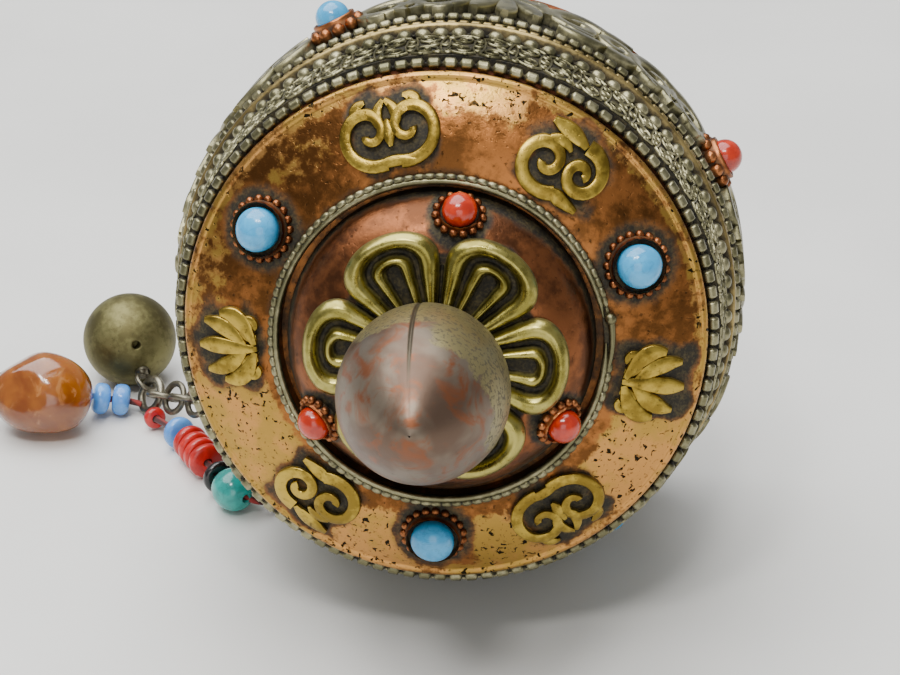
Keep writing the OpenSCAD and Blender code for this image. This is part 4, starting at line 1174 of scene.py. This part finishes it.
def make_filigree():
    """The pierced bands between the wires: small loops of flattened wire over a sheet painted dark as the
    shade seen through the piercings.
    """
    repeats, unit_width, middle_z, squeeze, wire_half = 26, 8.7, -7.1, 0.98, 0.17
    section = np.linspace(0, 1, 6)[:-1] * TAU
    up = -0.17 + 0.26 * np.sin(section)
    relief = smoothstep(-0.4, 0.0, up)

    def band_r(z):
        return 35.8 + 0.7 * (-2.7 - z) / 8.8
    wires = []
    for line in filigree_unit():
        along = unit(np.gradient(line, axis=0))
        side_way = np.stack([-along[:, 1], along[:, 0]], axis=-1)
        wires.append(line[:, None] + wire_half * np.cos(section)[:, None] * side_way[:, None])
    for side, place in (("front", lay), ("back", mirrored)):
        shape = Shape()
        z = np.linspace(-2.75, -11.45, 12)
        inner = np.array([-11.45, -7.0, -2.75])
        # Painted shade: a dark sheet under the wires stands in for the shade seen through the piercings
        shade_sheet = np.vstack([np.stack([band_r(z) - 0.32, z], axis=-1),
                            np.stack([shell_r(inner) + 0.06, inner], axis=-1)])
        shape.add(turned(shade_sheet, 240, place), relief=0.0, loop=True)
        for k in range(repeats):
            for wire in wires:
                z = middle_z - wire[..., 1] * squeeze
                angle = (wire[..., 0] / unit_width + k) * TAU / repeats
                shape.add(place(polar(band_r(z) + up, angle, z)), relief=relief)
        shape.build(f"filigree_{side}", white_paint, "drum", "white_metal", f"filigree_band_{side}", sharp=70)


def make_belt_relief():
    """The belt's four raised panels: scrollwork on a dark ground between the side stones."""
    shape = Shape()
    scroll_r, motif_along, motif_long = 38.5, 11.5, 10.2
    stones = sorted((a + 360) % 360 for a in SIDE_TURQUOISES + SIDE_CORALS)
    gap = math.degrees(4.2 / 38)
    section = np.array([(37.12, -18.4), (37.55, -18.4), (37.55, -31.6), (37.12, -31.6)])
    motifs = scroll_motifs()
    for i, start in enumerate(stones):
        first = start + gap
        last = (stones[(i + 1) % 4] - start) % 360 + start - gap
        a = np.radians(np.linspace(first, last, 60))
        shape.add(lay(polar(section[:, 0], a[:, None], section[:, 1])), relief=0.0)
        length = (last - first) * math.radians(1) * scroll_r
        count = max(1, round(length / motif_along))
        stretch = length / count / motif_long
        for k in range(count):
            middle = math.radians(first + (k + 0.5) * (last - first) / count)

            def onto(x, y, up):
                return lay(polar(37.6 + up, middle + y * stretch / scroll_r, MID_Z + x * 1.38))
            for line, half in motifs[(k + i) % 3]:
                stroke(shape, line, half * 1.05, 1.5, onto)
    shape.build("belt_scrollwork", white_paint, "drum", "white_metal", "relief_panels", sharp=55)


def make_side_stones():
    """The belt's four stones, in granulated cups."""
    cups = Shape()
    for angle in SIDE_TURQUOISES + SIDE_CORALS:
        bezel(cups, on_side(angle), 2.55, 3.15, 37.2, 40.1, 38.25, 10, 3.2, 38.6, 0.02)
    cups.build("side_bezel_cups", bezel_paint, "drum", "copper", "side_bezels", sharp=60)
    for kind, angles, paint in (("turquoise", SIDE_TURQUOISES, turquoise_paint),
                                ("coral", SIDE_CORALS, coral_paint)):
        stones = Shape()
        for k, angle in enumerate(angles):
            cabochon(stones, on_side(angle), 2.38, 38.3, 1.9, 2.3, k + 0.7)
        stones.build(f"side_{kind}_stones", paint, "drum", kind, f"side_{kind}s", sharp=60)


# ---------------------------------------------------------------- what keeps its design shape

def repaint(paint, *nodes):
    """Gives design nodes a material and keeps their meshes."""
    for node in nodes:
        for held in frame["nodes"][node].material_slots:
            held.material = paint


def repaint_plain_parts():
    """Materials for the handle, the bearings and the parts inside the drum."""
    repaint(turned_wood(), "handle_grip", "core_tube")
    repaint(plain_brass, "handle_ferrule", "foot_cap", "thrust_washer", "upper_bush", "lower_bush",
            "finial_socket", "drum_eye")
    repaint(plain_copper, "drum_shell", "base_plate")
    repaint(plain_white, "belt_strip")
    repaint(iron_paint, "spindle")
    repaint(shell_paint, "bearing_ring")
    repaint(paper(), "prayer_scroll")
    repaint(silk(), "scroll_wrap")


make_camera()
make_studio()
make_strands()
make_weight()
make_cap_plate()
make_cap_ornaments()
make_twisted_ring()
make_dome()
make_lotus()
make_cap_stones()
make_bulb()
make_drum_wires()
make_filigree()
make_belt_relief()
make_side_stones()
repaint_plain_parts()
